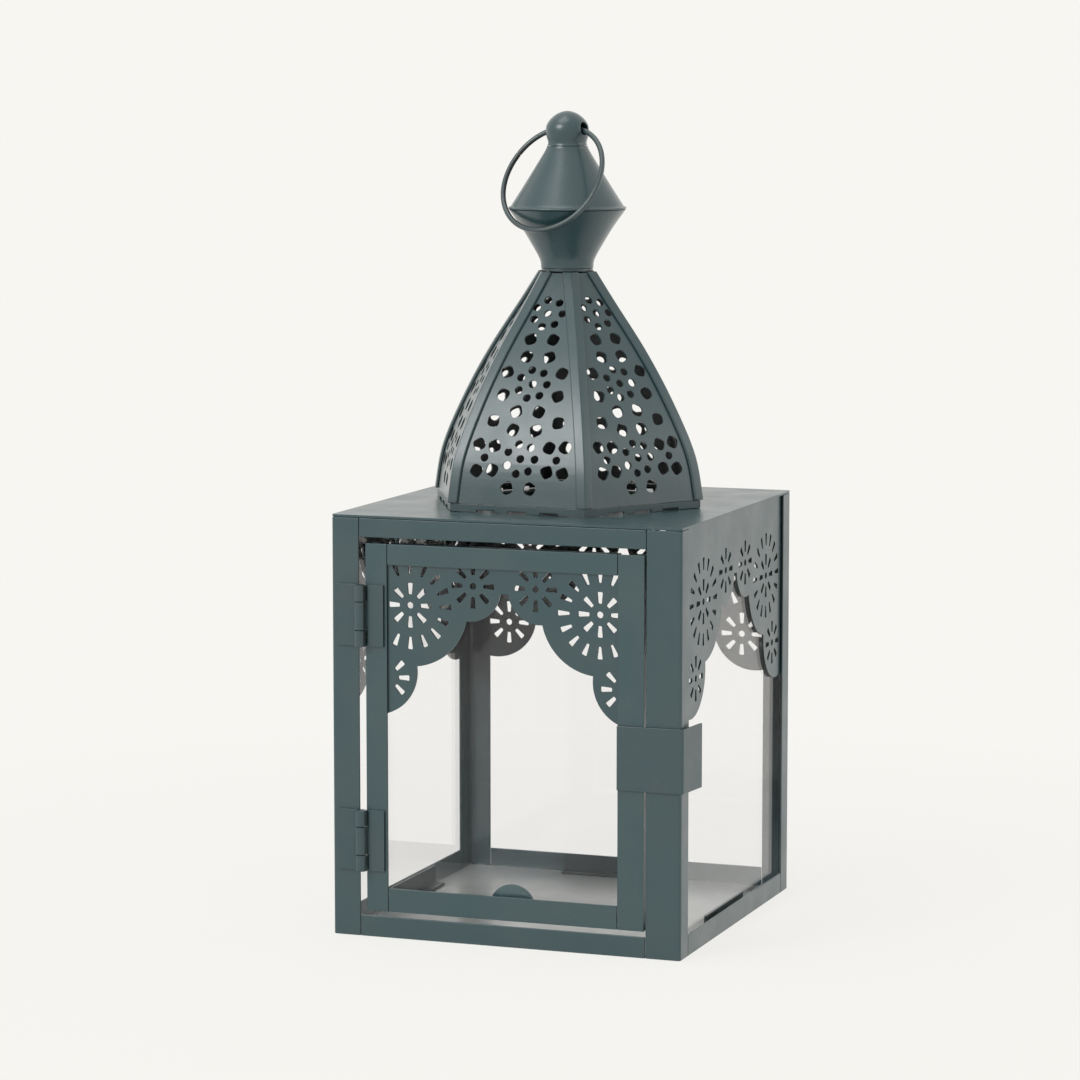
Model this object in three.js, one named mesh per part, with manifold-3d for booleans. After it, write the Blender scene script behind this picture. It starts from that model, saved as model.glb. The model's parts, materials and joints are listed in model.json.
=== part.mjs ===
// A candle lantern of painted sheet steel: a square glazed body with fretted valances and a
// hinged door, a six-sided pierced dome, a hollow spun finial and a wire carrying ring.
// Millimetres. The origin is on the ground under the middle of the body, -Y is the door side,
// +X is the door's latch side and +Z is up.
import * as THREE from 'three';
import { mergeVertices } from 'three/addons/utils/BufferGeometryUtils.js';
import Module from 'manifold-3d';

const wasm = await Module();
wasm.setup();

// Driving dimensions of the body
const bodyWidth = 145;
const bodyHeight = 168.2;
const sheet = 0.9;
const fretSheet = 0.8;
const paneThickness = 2;
const floorThickness = 1;
const seam = 0.2;
const foldRadius = 1.2;
const hingePostFront = 11.4;
const latchPostFront = 14.3;
const postSide = 9.6;
const postBack = 12.2;
const bottomRailHeight = 8.4;
const topRailHeight = 7.5;
const topRailLeg = 8;
const paneStripLength = 118;
const paneStripDrop = 8;
const paneStripLeg = 6;

// Driving dimensions of the floor: four round vents and a long slot on the latch side
const ventRadius = 14;
const ventAcross = 27.5;
const ventBack = 22.5;
const slotWidth = 5;
const slotLength = 100;
const slotFromPane = 7;

// Driving dimensions of the door
const doorGapHinge = 2.9;
const doorGapLatch = 0.8;
const doorGapTop = 2.4;
const doorGapBottom = 2.1;
const hingeStile = 9;
const latchStile = 10.8;
const doorTopRail = 8.2;
const doorBottomRail = 9.4;
const doorDepth = 5.2;
const doorLip = 4;

// Driving dimensions of the two butt hinges and of the latch clip
const barrelRadius = 2.3;
const boreRadius = 1.2;
const pinRadius = 0.95;
const hingeHeight = 24.4;
const middleKnuckle = 11;
const knuckleGap = 0.3;
const leafOnPost = 10.4;
const leafOnDoor = 9.3;
const hingeHeights = { lower: 38.9, upper: 128.7 };
const latchHeight = 25.2;
const latchMiddle = 78.2;
const latchWing = 18;
const latchFlare = THREE.MathUtils.degToRad(6);
const latchGap = 0.3;

// Driving dimensions of the fretwork. Flowers stand "across" from the middle of a sheet and
// "drop" below the body's top; each lobe of the scalloped edge goes round one flower.
const petal = { inner: 4.3, outer: 8.9, count: 8, narrow: 1.5, wide: 2.3 };
const farPetal = { inner: 12.4, outer: 17.4, count: 16, narrow: 1, wide: 2.4 };
const flowerEye = 1.75;
const flowers = [
  { across: 13, drop: 26.1, rings: [petal], lobe: { out: 1.6, down: 1.1, radius: 13 } },
  { across: 39.4, drop: 34.9, rings: [petal, farPetal], lobe: { out: 0, down: 0, radius: 24.2 } },
  { across: 48.7, drop: 63.8, rings: [petal], lobe: { out: 5.6, down: -2.6, radius: 17.8 } },
];
const archDrop = 28.7;
const sideSpread = 2.5;
const sideLift = 2.9;

// Driving dimensions of the dome
const domeTurn = THREE.MathUtils.degToRad(-3.5);
const skirtHeight = 3;
const ledge = 4;
const plateLip = 8;
const footNotch = { width: 8, height: 0.9, spacing: 13.5, count: 3 };
const domeOutline = [
  [57.8, 0],
  [54.3, 17.6],
  [45, 37.9],
  [33.3, 58],
  [19.2, 78.2],
  [11.6, 89.4],
];
const domeSpans = 6;
const panelSheet = 0.8;
const ribHalf = 2.45;
const blossomFoot = 18.6;
const blossomPitch = 31.1;
const budRing = { radius: 6.1, count: 7, size: 1.6 };
const dropRing = { radius: 13, count: 8, inner: 3, outer: 1.9, half: 2.1 };
const sideDrops = [[18.7, -5.4], [18.7, 5.4], [14.1, 15.4]];
const sideBud = [15.4, 0];

// Driving dimensions of the finial and the ring
const neckHeight = 0.9;
const neckBore = 5;
const wall = 1.2;
const trumpetOutline = [
  [10.4, 0],
  [10.7, 3.2],
  [14, 9.8],
  [19.6, 19.2],
  [23.4, 23.2],
];
const coneOutline = [
  [23.4, 0],
  [15, 13.8],
  [9.6, 22.4],
  [8.5, 25.1],
];
const knobRadius = 8.65;
const knobHeight = 13.8;
const knobStraight = 6.4;
const knobHole = 2.3;
const knobHoleUp = 6.9;
const ringRadius = 22.9;
const wireRadius = 1.05;
const ringTurn = THREE.MathUtils.degToRad(-15.5);
const restGap = 0.3;
const finialSegments = 24;

// Finishes
const paint = new THREE.MeshStandardMaterial({ color: 0x4d5e62, roughness: 0.5, metalness: 0.25 });
const glass = new THREE.MeshStandardMaterial({
  color: 0xe6eaea, roughness: 0.05, metalness: 0, transparent: true, opacity: 0.3,
});

// Places worked out from the driving dimensions
const half = bodyWidth / 2;
const sheetBack = half - sheet;
const fretFace = sheetBack - seam;
const paneFace = fretFace - fretSheet - seam;
const paneBack = paneFace - paneThickness;
const plateUnder = bodyHeight - sheet;
const frameTop = plateUnder - seam;
const paneFoot = floorThickness + seam;

const lantern = new THREE.Group();
const door = new THREE.Group();
lantern.add(door);

function addPiece(name, geometry, material = paint, parent = lantern) {
  const mesh = new THREE.Mesh(geometry, material);
  mesh.name = name;
  parent.add(mesh);
  return mesh;
}

// Shapes and solids

function slab([x0, y0, z0], [x1, y1, z1]) {
  const geometry = new THREE.BoxGeometry(x1 - x0, y1 - y0, z1 - z0);
  geometry.translate((x0 + x1) / 2, (y0 + y1) / 2, (z0 + z1) / 2);
  return geometry;
}

function outlineOf(points) {
  return new THREE.Shape(points.map(([x, y]) => new THREE.Vector2(x, y)));
}

function upright(outline, z0, z1, curveSegments = 6) {
  const options = { depth: z1 - z0, bevelEnabled: false, curveSegments };
  return new THREE.ExtrudeGeometry(outline, options).translate(0, 0, z0);
}

// A section drawn in Y and Z, drawn out along X
function alongX(points, x0, x1) {
  const geometry = new THREE.ExtrudeGeometry(outlineOf(points), { depth: x1 - x0, bevelEnabled: false });
  const axes = [new THREE.Vector3(0, 1, 0), new THREE.Vector3(0, 0, 1), new THREE.Vector3(1, 0, 0)];
  return geometry.applyMatrix4(new THREE.Matrix4().makeBasis(...axes)).translate(x0, 0, 0);
}

function solidOf(geometry) {
  const bare = geometry.clone();
  bare.deleteAttribute('normal');
  bare.deleteAttribute('uv');
  const merged = mergeVertices(bare, 1e-4);
  return new wasm.Manifold(new wasm.Mesh({
    numProp: 3,
    vertProperties: new Float32Array(merged.attributes.position.array),
    triVerts: new Uint32Array(merged.index.array),
  }));
}

function geometryOf(solid) {
  const mesh = solid.getMesh();
  const geometry = new THREE.BufferGeometry();
  geometry.setAttribute('position', new THREE.BufferAttribute(mesh.vertProperties, 3));
  geometry.setIndex(new THREE.BufferAttribute(mesh.triVerts, 1));
  const flat = geometry.toNonIndexed();
  flat.computeVertexNormals();
  return flat;
}

function joined(...geometries) {
  return geometryOf(geometries.map(solidOf).reduce((whole, next) => whole.add(next)));
}

function cutBy(geometry, cutters) {
  return geometryOf(cutters.map(solidOf).reduce((body, cutter) => body.subtract(cutter), solidOf(geometry)));
}

// A body through a row of closed rings that all have the same number of points
function loft(rings) {
  const count = rings[0].length;
  const positions = rings.flat().flatMap((point) => [point.x, point.y, point.z]);
  const faces = [];
  for (let i = 0; i + 1 < rings.length; i += 1) {
    for (let j = 0; j < count; j += 1) {
      const a = i * count + j;
      const b = i * count + ((j + 1) % count);
      faces.push(a, b, b + count, a, b + count, a + count);
    }
  }
  const flat = rings[0].map((point) => new THREE.Vector2(point.x, point.y));
  const caps = THREE.ShapeUtils.triangulateShape(flat, []);
  const last = (rings.length - 1) * count;
  const upward = THREE.ShapeUtils.area(flat) > 0;
  for (const [a, b, c] of caps) {
    faces.push(a, upward ? c : b, upward ? b : c);
    faces.push(last + a, last + (upward ? b : c), last + (upward ? c : b));
  }
  const geometry = new THREE.BufferGeometry();
  geometry.setAttribute('position', new THREE.Float32BufferAttribute(positions, 3));
  geometry.setIndex(faces);
  geometry.computeVertexNormals();
  return geometry;
}

// A body of revolution about Z from an outline of [radius, height] points
function turned(points, segments = finialSegments) {
  const outline = points.map(([r, h]) => new THREE.Vector2(r, h));
  if (THREE.ShapeUtils.area(outline) < 0) outline.reverse();
  return new THREE.LatheGeometry(outline, segments).rotateX(Math.PI / 2);
}

// Corner posts: sheet folded to an angle, as tall as the frame
function cornerPost(name, sideX, sideY, alongFace) {
  const outline = new THREE.Shape();
  outline.moveTo(sideX * (half - alongFace), sideY * half);
  outline.lineTo(sideX * (half - foldRadius), sideY * half);
  outline.quadraticCurveTo(sideX * half, sideY * half, sideX * half, sideY * (half - foldRadius));
  outline.lineTo(sideX * half, sideY * (half - postSide));
  outline.lineTo(sideX * sheetBack, sideY * (half - postSide));
  outline.lineTo(sideX * sheetBack, sideY * sheetBack);
  outline.lineTo(sideX * (half - alongFace), sideY * sheetBack);
  addPiece(name, upright(outline, 0, frameTop, 3));
}

cornerPost('post_front_hinge', -1, -1, hingePostFront);
cornerPost('post_front_latch', 1, -1, latchPostFront);
cornerPost('post_back_left', -1, 1, postBack);
cornerPost('post_back_right', 1, 1, postBack);

// Rails between the posts
const frontLeft = -half + hingePostFront + seam;
const frontRight = half - latchPostFront - seam;
const backReach = half - postBack - seam;
const sideReach = half - postSide - seam;
const topRailFoot = frameTop - topRailHeight;

addPiece('bottom_rail_front', slab([frontLeft, -half, 0], [frontRight, -sheetBack, bottomRailHeight]));
addPiece('bottom_rail_back', slab([-backReach, sheetBack, 0], [backReach, half, bottomRailHeight]));
addPiece('bottom_rail_left', slab([-half, -sideReach, 0], [-sheetBack, sideReach, bottomRailHeight]));
addPiece('bottom_rail_right', slab([sheetBack, -sideReach, 0], [half, sideReach, bottomRailHeight]));
addPiece('top_rail_front', alongX([
  [-half, topRailFoot],
  [-sheetBack, topRailFoot],
  [-sheetBack, frameTop - sheet],
  [-half + topRailLeg, frameTop - sheet],
  [-half + topRailLeg, frameTop],
  [-half, frameTop],
], frontLeft, frontRight));

// Floor plate with its vents, and top plate open under the dome
function squareOutline(reach) {
  return outlineOf([[-reach, -reach], [reach, -reach], [reach, reach], [-reach, reach]]);
}

function hexagonPoints(apothem) {
  return Array.from({ length: 6 }, (_, k) => {
    const angle = domeTurn + ((k + 0.5) * Math.PI) / 3 - Math.PI / 2;
    const radius = apothem / Math.cos(Math.PI / 6);
    return [radius * Math.cos(angle), radius * Math.sin(angle)];
  });
}

const floorOutline = squareOutline(fretFace);
for (const side of [-1, 1]) {
  for (const end of [-1, 1]) {
    const vent = new THREE.Path();
    vent.absarc(side * ventAcross, end * ventBack, ventRadius, 0, 2 * Math.PI, true);
    floorOutline.holes.push(vent);
  }
}
const slotFar = paneBack - slotFromPane;
const slotNear = slotFar - slotWidth;
const slotHalf = slotLength / 2;
floorOutline.holes.push(outlineOf(
  [[slotNear, -slotHalf], [slotFar, -slotHalf], [slotFar, slotHalf], [slotNear, slotHalf]],
));
addPiece('floor_plate', upright(floorOutline, 0, floorThickness, 5));

const domeFoot = bodyHeight + seam;
const footApothem = domeOutline[0][0] * Math.cos(Math.PI / 6);
const plateOutline = squareOutline(half);
plateOutline.holes.push(outlineOf(hexagonPoints(footApothem - plateLip)));
addPiece('top_plate', upright(plateOutline, plateUnder, bodyHeight));

// Fretwork: a sheet with a scalloped lower edge and flowers cut through it
function crossing(first, second) {
  const dx = second.x - first.x;
  const dy = second.y - first.y;
  const apart = Math.hypot(dx, dy);
  const along = (first.radius ** 2 - second.radius ** 2 + apart ** 2) / (2 * apart);
  const aside = Math.sqrt(first.radius ** 2 - along ** 2);
  return [first.x + (along * dx + aside * dy) / apart, first.y + (along * dy - aside * dx) / apart];
}

function angleAt(lobe, [x, y]) {
  return Math.atan2(y - lobe.y, x - lobe.x);
}

// The right half of the scalloped edge, from the middle of the arch out to the sheet's end
function scallops(lobes, arch, reach) {
  const [small, large, low] = lobes;
  const archSide = [small.x - Math.sqrt(small.radius ** 2 - (arch - small.y) ** 2), arch];
  const points = [archSide];
  const follow = (lobe, from, to, steps) => {
    const start = angleAt(lobe, from);
    const sweep = THREE.MathUtils.euclideanModulo(angleAt(lobe, to) - start, 2 * Math.PI);
    for (let i = 1; i <= steps; i += 1) {
      const angle = start + (sweep * i) / steps;
      points.push([lobe.x + lobe.radius * Math.cos(angle), lobe.y + lobe.radius * Math.sin(angle)]);
    }
  };
  const middleCusp = crossing(small, large);
  const lowCusp = crossing(large, low);
  const end = [reach, low.y - Math.sqrt(low.radius ** 2 - (reach - low.x) ** 2)];
  follow(small, archSide, middleCusp, 6);
  follow(large, middleCusp, lowCusp, 6);
  follow(low, lowCusp, end, 6);
  return points;
}

function petalPath(x, y, angle, ring) {
  const corners = [
    [ring.inner, -ring.narrow / 2],
    [ring.outer, -ring.wide / 2],
    [ring.outer, ring.wide / 2],
    [ring.inner, ring.narrow / 2],
  ];
  const turn = ([along, aside]) => [
    x + along * Math.cos(angle) - aside * Math.sin(angle),
    y + along * Math.sin(angle) + aside * Math.cos(angle),
  ];
  return outlineOf(corners.map(turn));
}

function eyePath(x, y) {
  return outlineOf([[x - 1, y - 1], [x + 1, y - 1], [x + 1, y + 1], [x - 1, y + 1]].map(
    ([a, b]) => [x + (a - x) * flowerEye * Math.SQRT1_2, y + (b - y) * flowerEye * Math.SQRT1_2],
  ));
}

// sight holds how far the flowers may show past the frame members in front of the sheet
function fretSheetOf(reach, top, spread, lift, sight) {
  const placed = flowers.map((flower) => {
    const x = flower.across + (flower.rings.length > 1 || flower.drop > archDrop ? spread : 0);
    return { ...flower, x, y: bodyHeight + lift - flower.drop };
  });
  const lobes = placed.map(({ x, y, lobe }) => ({ x: x + lobe.out, y: y - lobe.down, radius: lobe.radius }));
  const right = scallops(lobes, bodyHeight + lift - archDrop, reach);
  const left = right.map(([x, y]) => [-x, y]).reverse();
  const openings = [];
  for (const flower of placed) {
    for (const side of [-1, 1]) {
      const x = side * flower.x;
      if (Math.abs(x) < sight.across) openings.push(eyePath(x, flower.y));
      for (const ring of flower.rings) {
        for (let i = 0; i < ring.count; i += 1) {
          const angle = (i / ring.count) * 2 * Math.PI;
          const mid = (ring.inner + ring.outer) / 2;
          const beside = Math.abs(x + mid * Math.cos(angle));
          const above = flower.y + mid * Math.sin(angle);
          if (beside < sight.across && above < sight.top) {
            openings.push(petalPath(x, flower.y, angle, ring));
          }
        }
      }
    }
  }
  const plain = upright(outlineOf([[-reach, top], ...left, ...right, [reach, top]]), 0, fretSheet);
  const cutters = openings.map((opening) => upright(opening, -fretSheet, 2 * fretSheet));
  return cutBy(plain, cutters).rotateX(Math.PI / 2).translate(0, fretSheet, 0);
}

// Panels: each is fretwork behind the post flanges, a pane behind it and a strip at the top
const bodySight = { across: half - postSide, top: frameTop };
const bodyFret = fretSheetOf(fretFace - fretSheet - seam, frameTop, sideSpread, sideLift, bodySight);
const stripFace = paneBack - seam;
const paneStrip = alongX([
  [-stripFace, frameTop - paneStripDrop],
  [-stripFace + sheet, frameTop - paneStripDrop],
  [-stripFace + sheet, frameTop - sheet],
  [-stripFace + paneStripLeg, frameTop - sheet],
  [-stripFace + paneStripLeg, frameTop],
  [-stripFace, frameTop],
], -paneStripLength / 2, paneStripLength / 2);

for (const [side, turn] of [['right', 1], ['back', 2], ['left', 3]]) {
  const panel = new THREE.Group();
  panel.rotation.z = (turn * Math.PI) / 2;
  lantern.add(panel);
  addPiece(`fret_${side}`, bodyFret.clone(), paint, panel).position.y = -fretFace;
  const pane = slab([-paneBack + seam, -paneFace, paneFoot], [paneBack - seam, -paneBack, frameTop]);
  addPiece(`pane_${side}`, pane, glass, panel);
  addPiece(`pane_strip_${side}`, paneStrip.clone(), paint, panel);
}

// Hinges: the barrel stands in the gap between post and door, in front of both
const doorLeft = -half + hingePostFront + doorGapHinge;
const doorRight = half - latchPostFront - doorGapLatch;
const doorBottom = bottomRailHeight + doorGapBottom;
const doorTop = topRailFoot - doorGapTop;
const barrelX = doorLeft - doorGapHinge / 2;
const barrelY = -half - barrelRadius;
const leafFront = -half - seam - sheet;
const endKnuckle = (hingeHeight - middleKnuckle) / 2 - knuckleGap;

door.position.set(barrelX, barrelY, 0);

function addToDoor(name, geometry, material = paint) {
  return addPiece(name, geometry.translate(-barrelX, -barrelY, 0), material, door);
}

function knuckle(z0, z1) {
  const ring = new THREE.Shape();
  ring.absarc(barrelX, barrelY, barrelRadius, 0, 2 * Math.PI, false);
  const bore = new THREE.Path();
  bore.absarc(barrelX, barrelY, boreRadius, 0, 2 * Math.PI, true);
  ring.holes.push(bore);
  return upright(ring, z0, z1, 6);
}

// side is -1 for the leaf on the post and 1 for the leaf on the door
function hingeLeaf(side, width, middle, spans) {
  const near = barrelX + side * (barrelRadius + knuckleGap);
  const far = barrelX + side * width;
  const low = middle - hingeHeight / 2;
  const leafSlab = (x0, x1, z0, z1) => slab(
    [Math.min(x0, x1), leafFront, z0],
    [Math.max(x0, x1), leafFront + sheet, z1],
  );
  const root = barrelX + (side * boreRadius) / 2;
  const knuckles = spans.flatMap(([z0, z1]) => [knuckle(z0, z1), leafSlab(root, near + side * sheet, z0, z1)]);
  return joined(leafSlab(near, far, low, low + hingeHeight), ...knuckles);
}

for (const [level, middle] of Object.entries(hingeHeights)) {
  const low = middle - hingeHeight / 2;
  const high = middle + hingeHeight / 2;
  const ends = [[low, low + endKnuckle], [high - endKnuckle, high]];
  const centre = [[middle - middleKnuckle / 2, middle + middleKnuckle / 2]];
  const pin = new THREE.Shape().absarc(barrelX, barrelY, pinRadius, 0, 2 * Math.PI, false);
  addPiece(`hinge_leaf_post_${level}`, hingeLeaf(-1, leafOnPost, middle, ends));
  addToDoor(`hinge_leaf_door_${level}`, hingeLeaf(1, leafOnDoor, middle, centre));
  addPiece(`hinge_pin_${level}`, upright(pin, low, high, 5));
}

// Door frame: four channels that hold the fretwork and the pane behind their faces
function channelSection(face) {
  return [
    [0, 0],
    [face, 0],
    [face, sheet],
    [sheet, sheet],
    [sheet, doorDepth - sheet],
    [doorLip, doorDepth - sheet],
    [doorLip, doorDepth],
    [0, doorDepth],
  ];
}

const hingeSection = channelSection(hingeStile).map(([t, w]) => [doorLeft + t, -half + w]);
const latchSection = channelSection(latchStile).map(([t, w]) => [doorRight - t, -half + w]);
const topSection = channelSection(doorTopRail).map(([t, w]) => [-half + w, doorTop - t]);
const bottomSection = channelSection(doorBottomRail).map(([t, w]) => [-half + w, doorBottom + t]);
const railLeft = doorLeft + hingeStile + seam;
const railRight = doorRight - latchStile - seam;

addToDoor('door_stile_hinge', upright(outlineOf(hingeSection), doorBottom, doorTop));
addToDoor('door_stile_latch', upright(outlineOf(latchSection), doorBottom, doorTop));
addToDoor('door_rail_top', alongX(topSection, railLeft, railRight));
addToDoor('door_rail_bottom', alongX(bottomSection, railLeft, railRight));

const fill = sheet + seam;
const doorMiddle = (doorLeft + doorRight) / 2;
const doorReach = (doorRight - doorLeft) / 2 - fill;
const openingReach = (doorRight - doorLeft - hingeStile - latchStile) / 2;
const doorSight = { across: openingReach, top: doorTop - doorTopRail };
const doorFret = fretSheetOf(doorReach, doorTop - fill, 0, 0, doorSight);
addToDoor('door_fret', doorFret.translate(doorMiddle, -fretFace, 0));
addToDoor('door_pane', slab(
  [doorMiddle - doorReach, -paneFace, doorBottom + fill],
  [doorMiddle + doorReach, -paneBack, doorTop - fill],
), glass);

// Latch clip: a plate on the latch stile that bends round the post's corner as a sprung wing
const wingX = half + latchGap;
const wingEnd = {
  x: wingX + latchWing * Math.sin(latchFlare),
  y: leafFront + latchWing * Math.cos(latchFlare),
};
const clip = new THREE.Shape();
clip.moveTo(doorRight - latchStile, leafFront);
clip.lineTo(wingX, leafFront);
clip.quadraticCurveTo(wingX + sheet, leafFront, wingX + sheet, leafFront + sheet);
clip.lineTo(wingEnd.x + sheet, wingEnd.y);
clip.lineTo(wingEnd.x, wingEnd.y);
clip.lineTo(wingX, leafFront + sheet);
clip.lineTo(doorRight - latchStile, leafFront + sheet);
addToDoor('latch_clip', upright(clip, latchMiddle - latchHeight / 2, latchMiddle + latchHeight / 2, 3));

// Dome: a hexagonal base, six pierced panels bent to the bell outline, and six hip ribs
const panelFoot = domeFoot + skirtHeight + seam;
const panelSlope = Math.tan(Math.PI / 6);
const bell = new THREE.SplineCurve(domeOutline.map(
  ([radius, height]) => new THREE.Vector2(radius * Math.cos(Math.PI / 6), panelFoot + height),
));
const bellLength = bell.getLength();

// The bell outline at a share of its length, moved square to itself by "out"
function bellAt(share, out = 0) {
  const at = bell.getPointAt(share);
  const along = bell.getTangentAt(share);
  return { reach: at.x + along.y * out, z: at.y - along.x * out, along };
}

function hexagonRing(outer, inner, z0, z1) {
  const outline = outlineOf(hexagonPoints(outer));
  outline.holes.push(outlineOf(hexagonPoints(inner)));
  return upright(outline, z0, z1);
}

const skirtTop = domeFoot + skirtHeight;
const skirt = hexagonRing(footApothem, footApothem - sheet, domeFoot, skirtTop);
const shelf = hexagonRing(footApothem, footApothem - ledge, skirtTop - sheet, skirtTop);
const notches = [];
for (let face = 0; face < 6; face += 1) {
  for (let i = 0; i < footNotch.count; i += 1) {
    const across = (i - (footNotch.count - 1) / 2) * footNotch.spacing;
    const notch = slab(
      [footApothem - 2 * sheet, across - footNotch.width / 2, domeFoot - seam],
      [footApothem + sheet, across + footNotch.width / 2, domeFoot + footNotch.height],
    );
    notches.push(notch.rotateZ(domeTurn - Math.PI / 2 + (face * Math.PI) / 3));
  }
}
addPiece('dome_base', cutBy(joined(skirt, shelf), notches));

function panelRing(share) {
  const outside = bellAt(share);
  const inside = bellAt(share, -panelSheet);
  const corner = ({ reach, z }, side) => new THREE.Vector3(reach, side * (reach * panelSlope - seam), z);
  return [corner(outside, -1), corner(outside, 1), corner(inside, 1), corner(inside, -1)];
}

// A cutter square to the panel from points [across, up] round a place on its outer face
function piercing(across, up, points) {
  const { reach, z, along } = bellAt(up / bellLength);
  const ringAt = (out) => points.map(([u, v]) => new THREE.Vector3(
    reach + along.x * v + along.y * out,
    across + u,
    z + along.y * v - along.x * out,
  ));
  return loft([ringAt(-2 * panelSheet), ringAt(2 * panelSheet)]);
}

// Holes are kept where they clear the ribs on both sides of the panel
function clearsRibs(across, up, size) {
  if (up - size < 0 || up + size > bellLength) return false;
  return Math.abs(across) + size < bellAt(up / bellLength).reach * panelSlope - ribHalf;
}

const piercings = [];

function addBud(across, up) {
  const { size } = budRing;
  if (!clearsRibs(across, up, size)) return;
  piercings.push(piercing(across, up, [[size, 0], [0, size], [-size, 0], [0, -size]]));
}

function addDrop(across, up, angle) {
  if (!clearsRibs(across, up, dropRing.half)) return;
  const corners = [[-dropRing.inner, 0], [0, -dropRing.half], [dropRing.outer, 0], [0, dropRing.half]];
  const turn = ([a, b]) => [
    a * Math.cos(angle) - b * Math.sin(angle),
    a * Math.sin(angle) + b * Math.cos(angle),
  ];
  piercings.push(piercing(across, up, corners.map(turn)));
}

for (let flower = 0; blossomFoot + flower * blossomPitch < bellLength; flower += 1) {
  const middle = blossomFoot + flower * blossomPitch;
  addBud(0, middle);
  for (let i = 0; i < budRing.count; i += 1) {
    const angle = (i / budRing.count) * 2 * Math.PI;
    addBud(budRing.radius * Math.cos(angle), middle + budRing.radius * Math.sin(angle));
  }
  for (let i = 0; i < dropRing.count; i += 1) {
    const angle = ((i + 0.5) / dropRing.count) * 2 * Math.PI;
    addDrop(dropRing.radius * Math.cos(angle), middle + dropRing.radius * Math.sin(angle), angle);
  }
  if (flower === 0) {
    for (const side of [-1, 1]) {
      addBud(side * sideBud[0], middle + sideBud[1]);
      for (const [across, up] of sideDrops) {
        addDrop(side * across, middle + up, Math.atan2(up, side * across));
      }
    }
  }
}

const spans = Array.from({ length: domeSpans + 1 }, (_, i) => i / domeSpans);
const panel = cutBy(loft(spans.map(panelRing)), piercings);

// A rib's section is a chevron over the hip between two panels
function ribRing(share) {
  const hipTurn = Math.PI / 6;
  const corners = (out) => {
    const { reach, z } = bellAt(share, out);
    const aside = reach * panelSlope - ribHalf;
    const onPanel = (side) => new THREE.Vector3(
      reach * Math.cos(side * hipTurn) + aside * Math.sin(hipTurn),
      side * (reach * Math.sin(hipTurn) - aside * Math.cos(hipTurn)),
      z,
    );
    const hip = new THREE.Vector3(reach / Math.cos(hipTurn), 0, z);
    return [onPanel(-1), hip, onPanel(1)];
  };
  return [...corners(seam + sheet), ...corners(seam).reverse()];
}

const rib = loft(spans.map(ribRing));

const dome = new THREE.Group();
dome.rotation.z = domeTurn - Math.PI / 2;
lantern.add(dome);
for (let k = 0; k < 6; k += 1) {
  addPiece(`dome_panel_${k + 1}`, panel.clone(), paint, dome).rotation.z = (k * Math.PI) / 3;
  addPiece(`dome_rib_${k + 1}`, rib.clone(), paint, dome).rotation.z = ((k + 0.5) * Math.PI) / 3;
}

// Finial: a neck washer, a trumpet and a cone that meet at the rim, and a hollow knob
const bellTop = bellAt(1, seam + sheet).z;
const neckFoot = Math.max(bellTop, panelFoot + domeOutline.at(-1)[1]) + seam;
const trumpetFoot = neckFoot + neckHeight + seam;
const coneFoot = trumpetFoot + trumpetOutline.at(-1)[1] + seam;
const knobFoot = coneFoot + coneOutline.at(-1)[1] + seam;
const neckRadius = trumpetOutline[0][0];

function spunShell(outline, foot, steps) {
  const curve = new THREE.SplineCurve(outline.map(([r, h]) => new THREE.Vector2(r, foot + h)));
  const outside = curve.getSpacedPoints(steps).map(({ x, y }) => [x, y]);
  const inside = outside.map(([r, h]) => [r - wall, h]).reverse();
  return turned([...outside, ...inside, outside[0]]);
}

addPiece('neck_washer', turned([
  [neckBore, neckFoot],
  [neckRadius, neckFoot],
  [neckRadius, neckFoot + neckHeight],
  [neckBore, neckFoot + neckHeight],
  [neckBore, neckFoot],
]));
addPiece('finial_trumpet', spunShell(trumpetOutline, trumpetFoot, 5));
addPiece('finial_cone', spunShell(coneOutline, coneFoot, 4));

function domedOutline(radius, straight, rise) {
  const steps = 3;
  return Array.from({ length: steps + 1 }, (_, i) => {
    const angle = ((i / steps) * Math.PI) / 2;
    return [radius * Math.cos(angle), knobFoot + straight + rise * Math.sin(angle)];
  });
}

const knobRise = knobHeight - knobStraight;
const knobInside = domedOutline(knobRadius - wall, knobStraight, knobRise - wall).reverse();
const knobOutside = domedOutline(knobRadius, knobStraight, knobRise);
const knobShell = turned([
  ...knobInside,
  [knobRadius - wall, knobFoot],
  [knobRadius, knobFoot],
  ...knobOutside,
]);
const holeZ = knobFoot + knobHoleUp;
const knobBore = new THREE.CylinderGeometry(knobHole, knobHole, 3 * knobRadius, 12);
knobBore.rotateZ(Math.PI / 2).rotateZ(ringTurn).translate(0, 0, holeZ);
addPiece('finial_knob', cutBy(knobShell, [knobBore]));

// Carrying ring: it turns on the two knob holes and rests against the finial's rim
const ringAxisZ = holeZ - (knobHole - wireRadius - restGap);
const halfChord = knobRadius - wall / 2;
const ringReach = Math.sqrt(ringRadius ** 2 - halfChord ** 2);
const rim = { radius: trumpetOutline.at(-1)[0], z: coneFoot };

// How far the wire's middle line stays from the rim when the ring leans by an angle
function rimDistance(lean) {
  let nearest = Infinity;
  for (let i = 0; i <= 180; i += 1) {
    const angle = (i / 180) * Math.PI;
    const away = ringReach + ringRadius * Math.cos(angle);
    const across = ringRadius * Math.sin(angle);
    const radius = Math.hypot(across, away * Math.sin(lean));
    const height = ringAxisZ - away * Math.cos(lean);
    nearest = Math.min(nearest, Math.hypot(radius - rim.radius, height - rim.z));
  }
  return nearest;
}

function restingLean() {
  const step = THREE.MathUtils.degToRad(0.1);
  let lean = Math.PI / 2;
  while (lean > step && rimDistance(lean - step) >= wireRadius + restGap) lean -= step;
  return lean;
}

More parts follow.
